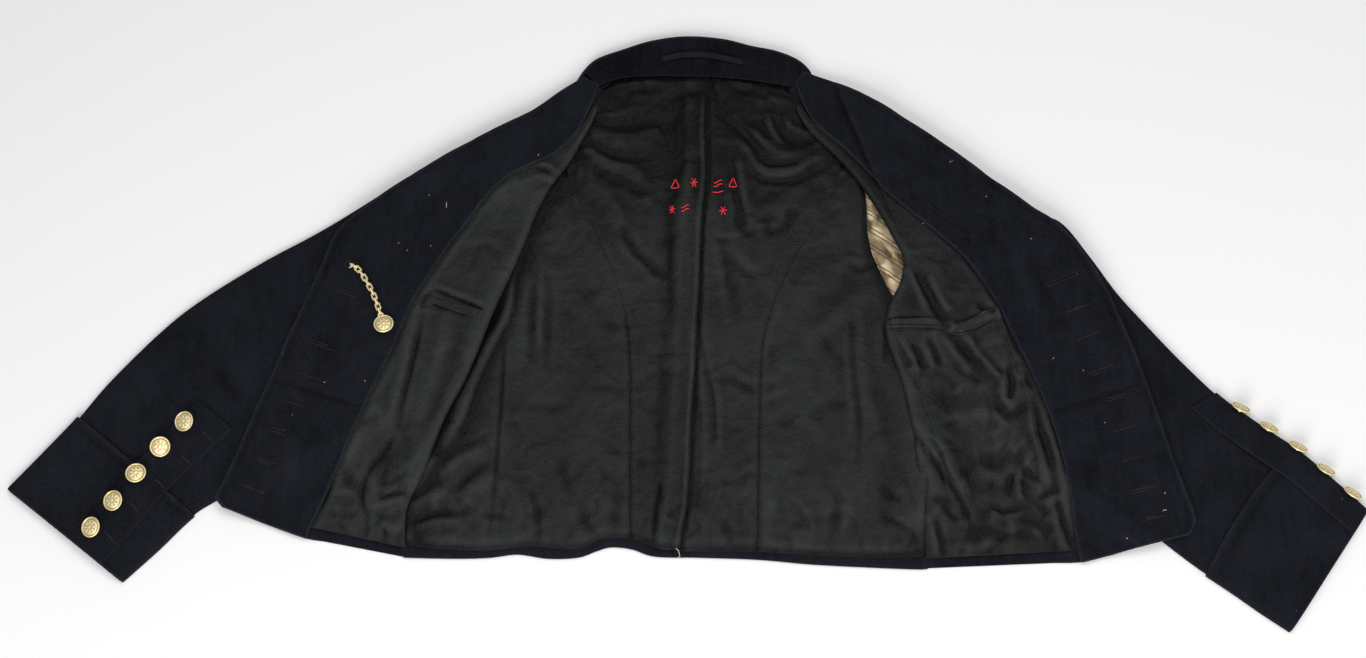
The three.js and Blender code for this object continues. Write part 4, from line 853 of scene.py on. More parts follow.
def loose_lining(name, node, flat_grid, lift, seed, tucked=0.0):
    """One panel of the back's lining: its flat grid, the lift of the pleat, the creases, wrinkles and slow
    ripples. The folds are held between two heights by one less an exponential, and die out at the border,
    where the panel is sewn down. Along the neck it is felled in small tucks. Painted shade darkens it towards
    the neck, and tucked adds painted shade where other cloth lies over it."""
    rows, columns = flat_grid.shape[:2]
    u, v = np.linspace(0, 1, columns)[None], np.linspace(0, 1, rows)[:, None]
    x, y = flat_grid[..., 0], flat_grid[..., 1]
    width = np.abs(x[:, -1:] - x[:, :1])
    sewn = smooth_step(np.minimum(v * PANEL_LENGTH, (1 - v) * PANEL_LENGTH), 0, 10)
    sides = 0.5 + 0.5 * smooth_step(np.minimum(u, 1 - u) * width, 0, 10)
    folds = creased(x, y, BACK_CREASES)
    folds += crumpled(x, y, 71, 90, (-150, 60, 170, 250), 16, 1.2, 10, 5)
    folds += crumpled(x, y, 73, 150, (-265, -250, 235, 60), 17, 0.65, 5, 4)
    folds += crumpled(x, y, 79, 130, (-265, -250, 235, -175), 14, 0.9, 80, 4)
    sunk, raised = -2.6 * (1 - np.exp(folds / 3.0)), 2.2 * (1 - np.exp(-folds / 3.0))
    folds = np.where(folds < 0, sunk, raised) * sewn * sides
    slow = (0.8 * ripple(x, y, seed, 10, 60.0) + 0.3 * ripple(x, y, seed + 1, 12, 17.0)) * sewn
    tucks = 0.5 * np.sin(x / 2.1 + 2.0 * np.sin(x / 9.0)) * bell(v * PANEL_LENGTH, 5.0)
    seams = seam_dip(u, width) * (1 - 0.9 * smooth_step(y, -30, 30))
    height = np.maximum(LINING_TOP + 1.9 * sewn + folds + slow + tucks + seams, LINING_FLOOR) + lift
    upper = lifted(flat_grid, height)
    # Painted shade: darker towards the neck, and more where tucked is given.
    shaded = 1.15 * smooth_step(y, 60, 235) + tucked
    piece = shell(name, upper, under(upper, LINING), black_sateen, shaded=shaded)
    sewn_in(piece, node)


def cut_below(table, y, shift):
    """The stretch of a smooth line below a height, moved sideways."""
    dense = by_length(table, np.linspace(0, 1, 400))
    stretch = dense[np.argmax(dense[:, 1] <= y):] + [shift, 0.0]
    return stretch[::10] if (len(stretch) - 1) % 10 == 0 else np.vstack([stretch[::10], stretch[-1]])


pleat_width = np.linspace(0, 1, 64)[None]
left_half = four_sided(LEFT_NECK, LEFT_BACK_HEM, LEFT_SEAM, PLEAT, 64, 250)
to_pleat = (1 - pleat_width) * np.abs(left_half[:, -1:, 0] - left_half[:, :1, 0])
pleat_opens = smooth_step(np.linspace(0, 1, 250)[:, None] * BACK_LENGTH, 6, 40)
on_top = (LINING + 2 * GAP + 2.2 * pleat_opens) * (1 - smooth_step(to_pleat, UNDERLAP + 2, 34))
pleat_fold = 1.3 * bell(to_pleat - 3.0, 3.0) * pleat_opens
loose_lining("lining_back_left_half", "lining_back_left", left_half, on_top + pleat_fold,
             31)

under_edge = np.vstack([RIGHT_NECK[:1], np.array(PLEAT[1:]) - [UNDERLAP, 0.0]])
right_half = four_sided(RIGHT_NECK, RIGHT_BACK_HEM, under_edge, RIGHT_SEAM, 64, 250)
from_pleat = pleat_width * np.abs(right_half[:, -1:, 0] - right_half[:, :1, 0])
tucked = -1.2 * (1 - smooth_step(from_pleat, UNDERLAP, UNDERLAP + 7))
# Painted shade on the right half where the left half's pleat edge lies over it.
pleat_shade = 1.0 - smooth_step(from_pleat, UNDERLAP, UNDERLAP + 7)
loose_lining("lining_back_right_half", "lining_back_right", right_half, tucked,
             37, pleat_shade)

LEFT_SIDE_RIDGE = [
    ([(-152, 96), (-160, 62), (-170, 30), (-174, -4), (-190, -40), (-206, -80), (-219, -118),
     (-238, -150)], 5.6, 5, 11),
    ([(-236, -146), (-250, -166), (-262, -186)], 4.6, 8, 12),
    ([(-236, -172), (-214, -152), (-188, -140)], 2.4, 6, 8),
    ([(-224, -188), (-200, -166), (-180, -150)], -1.4, 5, 5),
    ([(-216, -194), (-196, -178), (-176, -168)], 1.4, 6, 8),
    ([(-260, -200), (-236, -186), (-222, -180)], 2.0, 5, 7),
    ([(-262, -216), (-238, -206), (-216, -206), (-202, -198)], -1.6, 4, 5),
    ([(-256, -222), (-232, -214), (-208, -212)], 1.3, 5, 6),
    ([(-176, -6), (-177, -80), (-179, -140), (-182, -200), (-186, -240)], -1.2, 1.6, 2.4),
]
RIGHT_SIDE_REACH = 150.0
left_line = cut_below(LEFT_SEAM, 150, -0.9)
right_line = cut_below(RIGHT_SEAM, 158, 0.9)
left_hem = LEFT_SIDE_HEM[:-1] + [tuple(left_line[-1])]
left_side = four_sided([LEFT_TUCK[0], left_line[0]], left_hem, LEFT_TUCK, left_line, 90, 190)
beside = creased(left_side[..., 0], left_side[..., 1], LEFT_SIDE_RIDGE)
from_left_front = np.linspace(0, 1, 90)[None] * np.linalg.norm(left_side[:, -1:] - left_side[:, :1], axis=2)
# Painted shadow of the left front's roll on the side lining: strong along the roll above its lower end,
# weaker in a band beside it.
roll_shade_stretch = smooth_step(left_side[..., 1], -205, -150)
shade_under_front = 1.9 * (1 - smooth_step(from_left_front, 2, 15)) * roll_shade_stretch
shade_under_front += 0.5 * (1 - smooth_step(from_left_front, 12, 28))
loose_lining("lining_left_side", "lining_side_left", left_side, beside, 41, shade_under_front)
right_hem = [tuple(right_line[-1])] + RIGHT_SIDE_HEM[1:]
right_side = four_sided([right_line[0], RIGHT_TUCK[0]], right_hem, right_line, RIGHT_TUCK, 80, 190)
to_front = RIGHT_SIDE_REACH * (1 - np.linspace(0, 1, 80)[None])
low_down = smooth_step(-right_side[..., 1], 40, 90) * (1 - smooth_step(-right_side[..., 1], 205, 247))
slope = 9.0 * (1 - smooth_step(to_front, 0, 42)) * low_down
# Painted shade on the right side lining beside the right front, except where the lining slopes up.
shade_behind_front = 1.0 * (1 - smooth_step(to_front, 2, 22)) * (1 - low_down)
loose_lining("lining_right_side", "lining_side_right", right_side, slope,
             43, shade_behind_front)

# The lining of the right sleeve
# Cream cotton with pairs of thin dark stripes. It shows through the slit where the body linings part.


def striped_cotton(name):
    """Plain cream cotton: pairs of thin brown-black stripes run down it, and rust-brown marks have soaked
    in. A stripe is where the place across, less its whole repeats, is near one of two values. Painted shade
    kept at the mesh's points darkens it, in its folds and at its edges."""
    material, wire, shader = new_finish(name)
    place = wire.node("TexCoord", out=3)
    across = wire.node("Mapping", {"vector_type": "TEXTURE"}, {"Vector": place, "Rotation": (0.0, 0.0, 0.95)})
    parts = wire.node("SeparateXYZ", None, {0: across})
    repeat = wire.maths("FRACT", parts * 68.0)
    pair = wire.maths("ABSOLUTE", wire.maths("ABSOLUTE", repeat - 0.5) - 0.13)
    stripe = 1.0 - pair.between(0.022, 0.045)
    weave = wire.noise(place, 1400.0, 2.0)
    stain = wire.noise(place, 75.0, 4.0).between(0.44, 0.58)
    cream = (weave * 0.5 + 0.2).colours((0.50, 0.39, 0.22), (0.72, 0.60, 0.40))
    marked = cream.towards((0.19, 0.125, 0.055), stain * 0.75)
    striped = marked.towards((0.022, 0.017, 0.015), stripe * 0.92)
    # Painted shade from the fold depth and the shade kept at the points.
    shade = (wire.kept("painted_fold_shade") * 0.75 + 0.05).held(0.0, 0.9)
    striped = striped.towards((0.05, 0.035, 0.02), shade)
    bump = weave.bump(0.4, 0.0003)
    constants = {"Roughness": 0.85, "Specular IOR Level": 0.3, "Sheen Weight": 0.15}
    return finished(material, shader, constants, {"Base Color": striped, "Normal": bump})


cream_stripes = striped_cotton("cream_stripes")
SLIT = [(181, 128), (182, 92), (186, 62), (196.5, 34), (206.5, 8)]
SLIT_FAR = [(192, 128), (210, 98), (224, 66), (226, 34), (219, 8)]
slit_flat = four_sided([SLIT[0], SLIT_FAR[0]], [SLIT[-1], SLIT_FAR[-1]], SLIT, SLIT_FAR, 30, 60)
slit_folds = creased(slit_flat[..., 0], slit_flat[..., 1], [
    ([(184, 112), (190, 92), (200, 72), (212, 50)], 3.0, 3, 4),
    ([(186, 100), (196, 76), (208, 50)], -1.6, 3, 3),
    ([(192, 60), (200, 46), (208, 28)], 1.6, 3, 4),
])
slit_upper = lifted(slit_flat, LINING_TOP + 0.3 + slit_folds)
slit_across = np.linspace(0, 1, 30)[None] + 0 * slit_flat[..., 0]
slit_down = np.linspace(0, 1, 60)[:, None] + 0 * slit_across
# Painted shade on the sleeve lining in the slit, darker at both long edges where the body linings lie over
# it; it is also darker in three bands across the middle.
slit_shade = 0.6 * (1 - smooth_step(slit_across, 0.0, 0.25)) + 0.5 * smooth_step(slit_across, 0.8, 1.0)
slit_shade += 1.2 * bell(slit_down - 0.47 - 0.2 * slit_across, 0.05) * smooth_step(slit_across, 0.2, 0.5)
slit_shade += 0.9 * bell(slit_down - 0.3 + 0.15 * slit_across, 0.04)
slit_shade += 0.8 * bell(slit_down - 0.72, 0.03) * smooth_step(slit_across, 0.4, 0.7)
slit_lower = under(slit_upper, LINING)
slit_lining = shell("sleeve_lining_in_the_slit", slit_upper, slit_lower, cream_stripes, shaded=slit_shade)
sewn_in(slit_lining, "sleeve_lining_right")

# The fronts
# Each front is turned out over its sleeve: the wool lies below, the wide wool facing above it along the front
# edge, and the body lining from the facing to the roll. Edge, seam, roll, ridge and curl run down the table.

FACING = 2.2
OVER_SLEEVE = 9.2
OVER_BACK = WOOL + 0.5
CURL_RADIUS = 5.0
LEFT_FRONT = [
    (-103, 255, -89, 247, -84, 241, 3.0, 15), (-129, 236, -101, 213, -95, 210, 3.4, 40),
    (-157, 213, -114, 188, -107, 186, 4.6, 60), (-195, 192, -135, 167, -121, 159, 6.0, 80),
    (-236, 167, -169, 149, -139, 132, 8.0, 105), (-277, 139, -195, 125, -152, 104, 9.6, 125),
    (-314, 111, -217, 92, -162, 73, 10.8, 150), (-344, 82, -236, 64, -173, 43, 11.4, 168),
    (-357, 45, -252, 36, -184, 16, 11.4, 168), (-371, 7, -268, 5, -195, -14, 11.4, 168),
    (-384, -29, -281, -32, -205, -44, 11.4, 168), (-397, -68, -297, -71, -218, -78, 11.4, 168),
    (-411, -106, -312, -109, -231, -105, 11.4, 168), (-423, -142, -326, -146, -242, -135, 11.2, 160),
    (-434, -174, -341, -185, -252, -168, 10.2, 135), (-440, -187, -348, -203, -264.6, -200, 3.6, 30),
    (-441, -193, -354, -217, -264.4, -236, 0.2, 8), (-435, -201, -357, -229, -264.4, -247, 0.0, 8),
]
RIGHT_FRONT = [
    (122, 261, 114, 250, 108, 243, 3.0, 15), (167, 241.5, 124, 219, 118, 215, 3.4, 40),
    (196, 224, 138, 198, 131, 194, 4.4, 60), (226, 202, 161, 175, 150, 173, 6.0, 80),
    (255, 181, 184, 148, 169, 149, 8.0, 105), (284, 157, 204, 123, 185, 125, 9.6, 125),
    (313, 133, 230, 99, 200, 98, 10.8, 130), (345, 107, 257, 74, 212, 72, 11.4, 130),
    (368, 90, 274, 57, 220, 52, 11.4, 130), (390, 62, 290, 34, 216, 27, 11.4, 140),
    (410, 24, 304, 9, 204, 2, 11.4, 160), (425, -17, 316, -19, 200, -25, 11.4, 168),
    (437, -55, 329, -51, 207, -53, 11.4, 168), (447, -92, 341, -82, 213, -76, 11.4, 150),
    (456, -128, 352, -118, 217, -99, 11.2, 130), (465, -164, 360, -154, 222, -130, 10.6, 110),
    (474, -196, 366, -194, 224, -167, 8.6, 80), (477, -206, 368, -219, 227.4, -205, 3.6, 30),
    (478, -216, 370, -240, 227.2, -247, 0.2, 8), (472, -228, 372, -252, 227.2, -258, 0.0, 8),
]
LEFT_FRONT_CREASES = [
    ([(-176, 150), (-156, 159), (-138, 154), (-126, 144)], 1.8, 3, 4),
    ([(-170, 144), (-152, 152), (-134, 146)], -1.8, 3, 3),
    ([(-164, 136), (-146, 141), (-128, 136), (-120, 126)], 1.6, 4, 4),
    ([(-150, 128), (-136, 132), (-124, 122)], -1.6, 3, 4),
    ([(-146, 108), (-140, 124), (-130, 138)], -2.2, 3, 4),
    ([(-134, 110), (-126, 122), (-116, 134)], -1.6, 3, 3),
    ([(-126, 118), (-116, 112), (-108, 122)], -2.0, 3, 3),
    ([(-200, 118), (-178, 132), (-152, 134)], 1.2, 6, 7),
    ([(-216, 92), (-190, 104), (-160, 106)], -0.9, 7, 8),
    ([(-236, 60), (-205, 70), (-172, 66)], 0.9, 8, 8),
    ([(-247, 19), (-222, 8), (-194, -6)], -2.6, 1.5, 1.5),
    ([(-248, 24), (-222, 13), (-192, -1)], 1.3, 4, 3),
    ([(-248, 3), (-230, -5), (-212, -11)], -1.4, 1.3, 1.3),
    ([(-247, 18), (-255, 9), (-257, -4)], -1.4, 2, 2),
    ([(-256, -4), (-261, -44), (-270, -92), (-275, -130)], -2.0, 2.4, 5),
    ([(-266, -10), (-272, -60), (-282, -112)], 1.3, 6, 5),
    ([(-278, -128), (-286, -146), (-298, -160), (-306, -182), (-304, -204)], -1.5, 2.4, 3),
    ([(-304, -198), (-300, -216), (-302, -238)], -1.3, 2.4, 3),
    ([(-298, -160), (-296, -186), (-292, -206)], 0.8, 5, 6),
    ([(-182, 30), (-194, -10), (-206, -50), (-222, -96), (-236, -136)], 1.6, 5, 10),
    ([(-212, 20), (-222, -30), (-238, -90), (-252, -140)], -1.0, 9, 9),
    ([(-232, 0), (-240, -60), (-254, -120)], 1.1, 9, 9),
    ([(-250, -130), (-254, -150), (-262, -160), (-280, -168)], 0.9, 4, 5),
    ([(-262, -168), (-276, -176), (-294, -180)], -0.9, 3, 3),
    ([(-292, -194), (-278, -189), (-264, -188)], -2.2, 3, 2.4),
    ([(-304, -200), (-284, -197), (-266, -193)], 1.1, 4, 3),
    ([(-296, -206), (-278, -210), (-264, -202)], -1.2, 2.5, 3),
    ([(-330, -150), (-318, -176), (-300, -188)], -1.3, 5, 6),
    ([(-340, -188), (-322, -184), (-306, -190)], 1.3, 5, 5),
    ([(-344, -204), (-326, -208), (-306, -206)], -1.1, 4, 4),
    ([(-330, -112), (-310, -120), (-292, -116)], -0.9, 6, 6),
    ([(-288, -214), (-276, -222), (-266, -216)], 1.2, 4, 4),
    ([(-330, -214), (-322, -222), (-318, -232)], -1.2, 4, 4),
    ([(-284, -216), (-283, -228), (-284, -238)], -1.4, 3, 3),
]
RIGHT_FRONT_CREASES = [
    ([(226, 40), (234, 22), (242, 4), (251, -14), (260, -32)], -4.6, 7, 4),
    ([(238, 34), (248, 12), (260, -6)], 2.6, 4, 8),
    ([(218, 44), (228, 20), (236, -4)], 1.8, 5, 4),
    ([(258, -24), (270, -42), (282, -58), (294, -78)], -3.0, 5, 5),
    ([(266, -22), (284, -44), (300, -66), (306, -82)], 2.2, 3, 5),
    ([(278, -36), (294, -56), (308, -72)], -2.4, 4, 3),
    ([(248, -28), (262, -50), (276, -70)], 1.6, 4, 4),
    ([(253, -12), (260, -21), (254, -28)], 2.6, 3, 3),
    ([(205, -36), (213, -50), (219, -62)], -2.2, 3, 4),
    ([(219, -38), (226, -50), (229, -64)], -2.4, 3, 3),
    ([(235, -30), (242, -46), (247, -64)], -2.2, 3, 3),
    ([(212, -40), (220, -56), (226, -70)], 1.6, 3, 3),
    ([(228, -34), (235, -50), (240, -66)], 1.5, 3, 3),
    ([(193, -16), (200, -34), (212, -58), (218, -80)], -3.0, 4, 3),
    ([(206, -34), (214, -60), (218, -90)], 1.8, 4, 5),
    ([(240, 50), (256, 20), (276, 6)], 1.4, 8, 9),
    ([(286, 4), (292, -2), (303, -4)], -2.6, 4, 3),
    ([(276, -10), (290, -8), (306, -2)], -1.6, 2, 3),
    ([(306, 4), (312, -12), (318, -30), (324, -50)], -1.6, 3, 3),
    ([(300, 8), (308, -12), (312, -34)], 1.3, 3, 4),
    ([(316, -56), (313, -68), (315, -80), (311, -96)], -3.8, 3, 3),
    ([(321, -60), (326, -67), (321, -75)], 2.8, 3, 3),
    ([(308, -66), (306, -82), (309, -92)], 1.8, 3, 4),
    ([(320, -56), (329, -70), (335, -86)], -3.0, 3, 4),
    ([(334, -84), (337, -104), (339, -124), (346, -150), (350, -174), (352, -198)], -3.4, 4, 5),
    ([(328, -80), (329, -104), (332, -128), (338, -154), (343, -176)], 2.8, 6, 4),
    ([(346, -96), (350, -124), (356, -152), (362, -186)], 1.6, 4, 5),
    ([(356, -120), (364, -158), (370, -200)], -1.0, 5, 5),
    ([(294, -78), (300, -98), (312, -110), (326, -102), (330, -88)], -2.8, 5, 7),
    ([(300, -82), (308, -98), (318, -98)], 1.8, 4, 4),
    ([(224, -88), (246, -94), (270, -96), (296, -90)], -1.9, 8, 9),
    ([(236, -106), (262, -112), (290, -110), (312, -122)], 1.5, 8, 8),
    ([(206, -110), (222, -134), (245, -168), (262, -195), (273, -224)], -2.6, 2, 4),
    ([(212, -108), (230, -132), (252, -166), (270, -196)], 1.5, 5, 4),
    ([(224, -128), (240, -142), (248, -164), (258, -180)], -2.0, 2, 3),
    ([(236, -130), (250, -146), (260, -168), (272, -190)], 1.3, 4, 5),
    ([(244, -198), (251, -209), (258, -214)], -2.2, 3, 3),
    ([(236, -212), (241, -232), (244, -256)], -2.0, 2.5, 3),
    ([(229, -208), (233, -228), (236, -252)], 1.2, 4, 3),
    ([(288, -196), (300, -203), (317, -201)], -2.0, 2, 3),
    ([(286, -204), (300, -210), (320, -206)], 1.5, 4, 4),
    ([(312, -166), (308, -176), (306, -190)], -1.7, 2, 3),
    ([(318, -166), (316, -180), (318, -194)], 1.3, 4, 4),
    ([(318, -156), (330, -172), (346, -182)], -1.7, 3, 3),
    ([(334, -193), (344, -186), (356, -184)], -2.4, 3, 3),
    ([(336, -198), (348, -192), (360, -190)], 1.7, 3, 4),
    ([(351, -188), (356, -210), (361, -228), (365, -250)], -2.6, 2.5, 3),
    ([(344, -190), (349, -214), (355, -246)], 1.4, 5, 4),
    ([(276, -148), (296, -154), (310, -142)], -1.4, 8, 7),
    ([(280, -164), (300, -170), (316, -158)], 1.4, 6, 7),
    ([(262, -226), (284, -222), (304, -228), (330, -222)], -1.5, 5, 6),
    ([(300, -214), (320, -222), (340, -226)], 1.1, 5, 5),
    ([(322, -130), (326, -150), (322, -168)], 1.2, 5, 5),
    ([(232, -190), (246, -196), (262, -190)], -1.2, 5, 5),
    ([(258, -236), (274, -240), (296, -236)], 0.9, 5, 4),
    ([(366, -196), (370, -220), (374, -244)], 0.9, 4, 4),
    ([(230, -160), (236, -180), (232, -198)], 1.0, 6, 6),
]
FACING_CREASES = {
    "left": [
        ([(-401, -74.5), (-356, -89), (-309, -104.5)], -0.9, 3, 3),
        ([(-300, 100), (-330, 40), (-350, 0)], 1.2, 14, 18),
        ([(-200, 176), (-240, 130), (-262, 90)], -1.3, 12, 14),
        ([(-340, -20), (-352, -60), (-362, -110)], -1.1, 12, 14),
        ([(-380, -130), (-372, -160), (-360, -190)], 1.0, 12, 12),
        ([(-270, 100), (-290, 60), (-300, 20)], -0.9, 14, 14),
    ],
    "right": [
        ([(349, -109), (392, -96), (444, -78)], -0.9, 3, 3),
        ([(196, 200), (240, 160), (300, 120)], -1.4, 14, 16),
        ([(322, 60), (336, 20), (346, -30)], 1.6, 10, 12),
        ([(336, 60), (352, 20), (364, -30)], -1.4, 10, 12),
        ([(380, -40), (400, -90), (410, -150)], -1.1, 14, 14),
        ([(420, -130), (436, -170), (446, -200)], 1.1, 10, 10),
        ([(300, 90), (312, 60), (322, 20)], -1.2, 8, 10),
        ([(374, 20), (392, -20), (404, -60)], 1.0, 12, 12),
        ([(420, -92), (404, -120), (392, -150), (380, -190)], -1.8, 9, 12),
    ],
}


def beyond_sleeve(sections, x, y):
    """How far each place lies outside a sleeve's inner edge, towards the hem; below nothing on the sleeve."""
    inner = np.asarray(sections, float)[:, 2:]
    side = np.sign(inner[0, 0])
    nearest, signed = np.full(x.shape, np.inf), np.zeros_like(x)
    for start, step in zip(inner[:-1], np.diff(inner, axis=0)):
        dx, dy = x - start[0], y - start[1]
        s = np.clip((dx * step[0] + dy * step[1]) / (step @ step), 0, 1)
        distance = np.hypot(dx - s * step[0], dy - s * step[1])
        closer = distance < nearest
        signed = np.where(closer, -side * np.sign(step[0] * dy - step[1] * dx) * distance, signed)
        nearest = np.where(closer, distance, nearest)
    return signed


def front_height(sections, x, y, ridge, from_roll):
    """The height of a front's wool: over the sleeve, the back or its own roll, whichever carries it."""
    left = sections[0][2] < 0
    armhole = smooth_step(-x, 85, 188) if left else smooth_step(x, 115, 220)
    on_sleeve = OVER_SLEEVE * armhole * (1 - smooth_step(beyond_sleeve(sections, x, y), 8, 50))
    at_roll = np.maximum(0, ridge - on_sleeve) * (1 - smooth_step(from_roll, 0, 55))
    on_back = OVER_BACK * (1 - smooth_step(-x if left else x, 190, 235))
    return np.hypot(on_sleeve + at_roll, on_back)


FRONT_WRINKLES = {
    "left": [
        (83, 60, (-300, -90, -160, 180), 15, 0.6, 5, 5),
        (97, 70, (-350, -240, -255, -90), 15, 0.5, -60, 4),
        (103, 40, (-350, -240, -255, -90), 18, 0.5, 20, 4.5),
    ],
    "right": [
        (89, 60, (190, -20, 320, 90), 15, 0.6, 5, 5),
        (101, 150, (205, -255, 375, -20), 15, 0.95, 75, 4),
        (107, 40, (205, -255, 375, -20), 18, 1.0, 20, 4.5),
    ],
}
FRONT_SEEDS = {"left": 53, "right": 59}


def front_folds(name, x, y):
    """The folds of a front's lining and of what is sewn on it: creases, small wrinkles and slow ripples. What
    dips is held above a depth by one less an exponential."""
    folds = creased(x, y, LEFT_FRONT_CREASES if name == "left" else RIGHT_FRONT_CREASES)
    for wrinkles in FRONT_WRINKLES[name]:
        folds += crumpled(x, y, *wrinkles)
    seed = FRONT_SEEDS[name]
    slow = 0.8 * ripple(x, y, seed, 9, 80.0) + 0.4 * ripple(x, y, seed + 1, 9, 28.0)
    return np.where(folds < 0, -2.9 * (1 - np.exp(folds / 2.9)), folds) + slow


LOOSE = 2.0
SWEEP_MIDDLE = (-336, 45.5)
SWEEP_REACH = 88


def turned_front(name, table, sections):
    """The three layers of one front on one grid: down the table's rows, and across from edge to seam to
    roll."""
    seed = FRONT_SEEDS[name]
    rows = through(table, np.linspace(0, len(table) - 1, 230))
    edge, seam, roll = rows[:, None, 0:2], rows[:, None, 2:4], rows[:, None, 4:6]
    s = np.linspace(0, 1, 56)[None, :, None]
    outer, inner = edge * (1 - s) + seam * s, seam * (1 - s) + roll * s
    ridge, curl = rows[:, 6:7], np.radians(rows[:, 7:8])

    def height(flat, some=slice(None)):
        """The height of the wool under a grid, or under some of its rows."""
        x, y = flat[..., 0], flat[..., 1]
        return front_height(sections, x, y, ridge[some], np.hypot(x - roll[some, :, 0], y - roll[some, :, 1]))

    whole = np.concatenate([outer[::2, ::3], inner[::2, 1::3]], axis=1)
    base = height(whole, slice(None, None, 2))
    sunk = 1.5 * smooth_step(np.arange(whole.shape[1])[None] - outer[:, ::3].shape[1], 1, 3)
    wool_upper, wool_lower = lifted(whole, base + WOOL - sunk), lifted(whole, base)
    front = shell(f"front_{name}_wool", wool_upper, wool_lower, navy_wool)
    sewn_in(front, f"front_{name}")

    x, y = outer[..., 0], outer[..., 1]
    from_edge = s[..., 0] * np.linalg.norm(seam - edge, axis=2)
    pressed = 0.55 * bell(from_edge, 2.2) - 0.35 * bell(from_edge - 5.5, 1.6)
    soft = creased(x, y, FACING_CREASES[name]) + 1.5 * ripple(x, y, seed, 9, 75.0)
    soft += 0.6 * ripple(x, y, seed + 1, 9, 26.0)
    swept = np.exp(-((np.hypot(x - SWEEP_MIDDLE[0], y - SWEEP_MIDDLE[1]) / SWEEP_REACH) ** 8))
    soft -= (np.maximum(soft, 0) + 0.55) * swept
    facing_base = height(outer) + WOOL + GAP
    facing_upper = lifted(outer, facing_base + FACING + np.maximum(soft, -1.6) + pressed + 0.5)
    # The facing gets a stronger painted highlight along its edge.
    facing = shell(f"facing_{name}_wool", facing_upper, lifted(outer, facing_base), navy_wool, wear_and_edge_highlight=0.8)
    sewn_in(facing, f"facing_{name}")

    down = np.linspace(0, len(table) - 1, 230)
    some = slice(9, 218 if name == "left" else 219)
    narrow = (0.35 + 0.65 * smooth_step(down[some], 0.6, 2.6))[:, None, None]
    flat = roll[some] + (inner[some] - roll[some]) * narrow
    x, y = flat[..., 0], flat[..., 1]
    from_seam = s[..., 0] * np.linalg.norm(seam[some] - roll[some], axis=2)
    near_hem = smooth_step(down[some][:, None], len(table) - 2.6, len(table) - 1.2)
    sewn = smooth_step(from_seam, 0, 9) * (1 - 0.65 * near_hem)
    top = height(flat, some) + WOOL + GAP + LINING + (LOOSE + front_folds(name, x, y)) * sewn
    top += (1 - narrow[..., 0]) * 1.6
    upper = lifted(flat, top)
    last, before = upper[:, -1:], upper[:, -2:-1]
    away = (last - before)[..., :2]
    away = away / np.linalg.norm(away, axis=2, keepdims=True)
    angle = curl[some] * np.linspace(0, 1, 15)[None, 1:]
    bend = last[..., :2] + away * (CURL_RADIUS * np.sin(angle))[..., None]
    turn = lifted(bend, last[..., 2] - CURL_RADIUS * (1 - np.cos(angle)))
    upper = np.concatenate([upper, turn], axis=1)
    # Painted light and shade: the left front's lining is coloured lighter and the right front's darker.
    shade = {"left": -0.25, "right": 0.22}[name]
    lining = shell(f"lining_front_{name}_sateen", upper, under(upper, LINING), black_sateen, shaded=shade)
    sewn_in(lining, f"lining_front_{name}")


turned_front("left", LEFT_FRONT, LEFT_SLEEVE)
turned_front("right", RIGHT_FRONT, RIGHT_SLEEVE)

# The inside pockets
# A patch pocket of the lining cloth with a folded band sits on the right, and narrow welts mark the slits.


def on_front(table, sections, row_ends, columns, count, lift):
    """A patch in a front's own grid: rows of the table by columns, where 0 to 4 is edge to seam and 4 to 8
    is seam to roll. Its height is the front's own height, raised by the lift."""
    v = np.linspace(0, 1, count[1])
    rows = through(table, row_ends[0] + (row_ends[1] - row_ends[0]) * v)
    first = columns[0][0] * (1 - v) + columns[0][1] * v
    last = columns[1][0] * (1 - v) + columns[1][1] * v
    column = first[:, None] + (last - first)[:, None] * np.linspace(0, 1, count[0])[None]
    edge, seam, roll = rows[:, None, 0:2], rows[:, None, 2:4], rows[:, None, 4:6]
    on_facing, on_lining = np.clip(column / 4, 0, 1)[..., None], np.clip(column / 4 - 1, 0, 1)[..., None]
    flat = edge + (seam - edge) * on_facing + (roll - seam) * on_lining
    x, y = flat[..., 0], flat[..., 1]
    base = front_height(sections, x, y, rows[:, 6:7], np.hypot(x - roll[..., 0], y - roll[..., 1]))
    return lifted(flat, base + lift)


ON_LINING = WOOL + GAP + LINING + LOOSE
TAPE = 1.0
PATCH_WIDTH = 110
PATCH_LENGTH = 190
patch_sides = ([4.25, 4.9], [7.95, 7.3])
patch_upper = on_front(RIGHT_FRONT, RIGHT_SLEEVE, (10.7, 16.9), patch_sides, (76, 110), ON_LINING)
patch_across = np.linspace(0, 1, 76)[None]
patch_down = np.linspace(0, 1, 110)[:, None]
patch_to_side = np.minimum(patch_across, 1 - patch_across) * PATCH_WIDTH
patch_edge = smooth_step(np.minimum(patch_to_side, (1 - patch_down) * PATCH_LENGTH), 0, 9)
patch_folds = front_folds("right", patch_upper[..., 0], patch_upper[..., 1])
patch_upper[..., 2] += patch_folds + 0.15 + 0.75 * patch_edge
patch = shell("patch_pocket", patch_upper, under(patch_upper, LINING), black_sateen)
sewn_in(patch, "pocket_right")

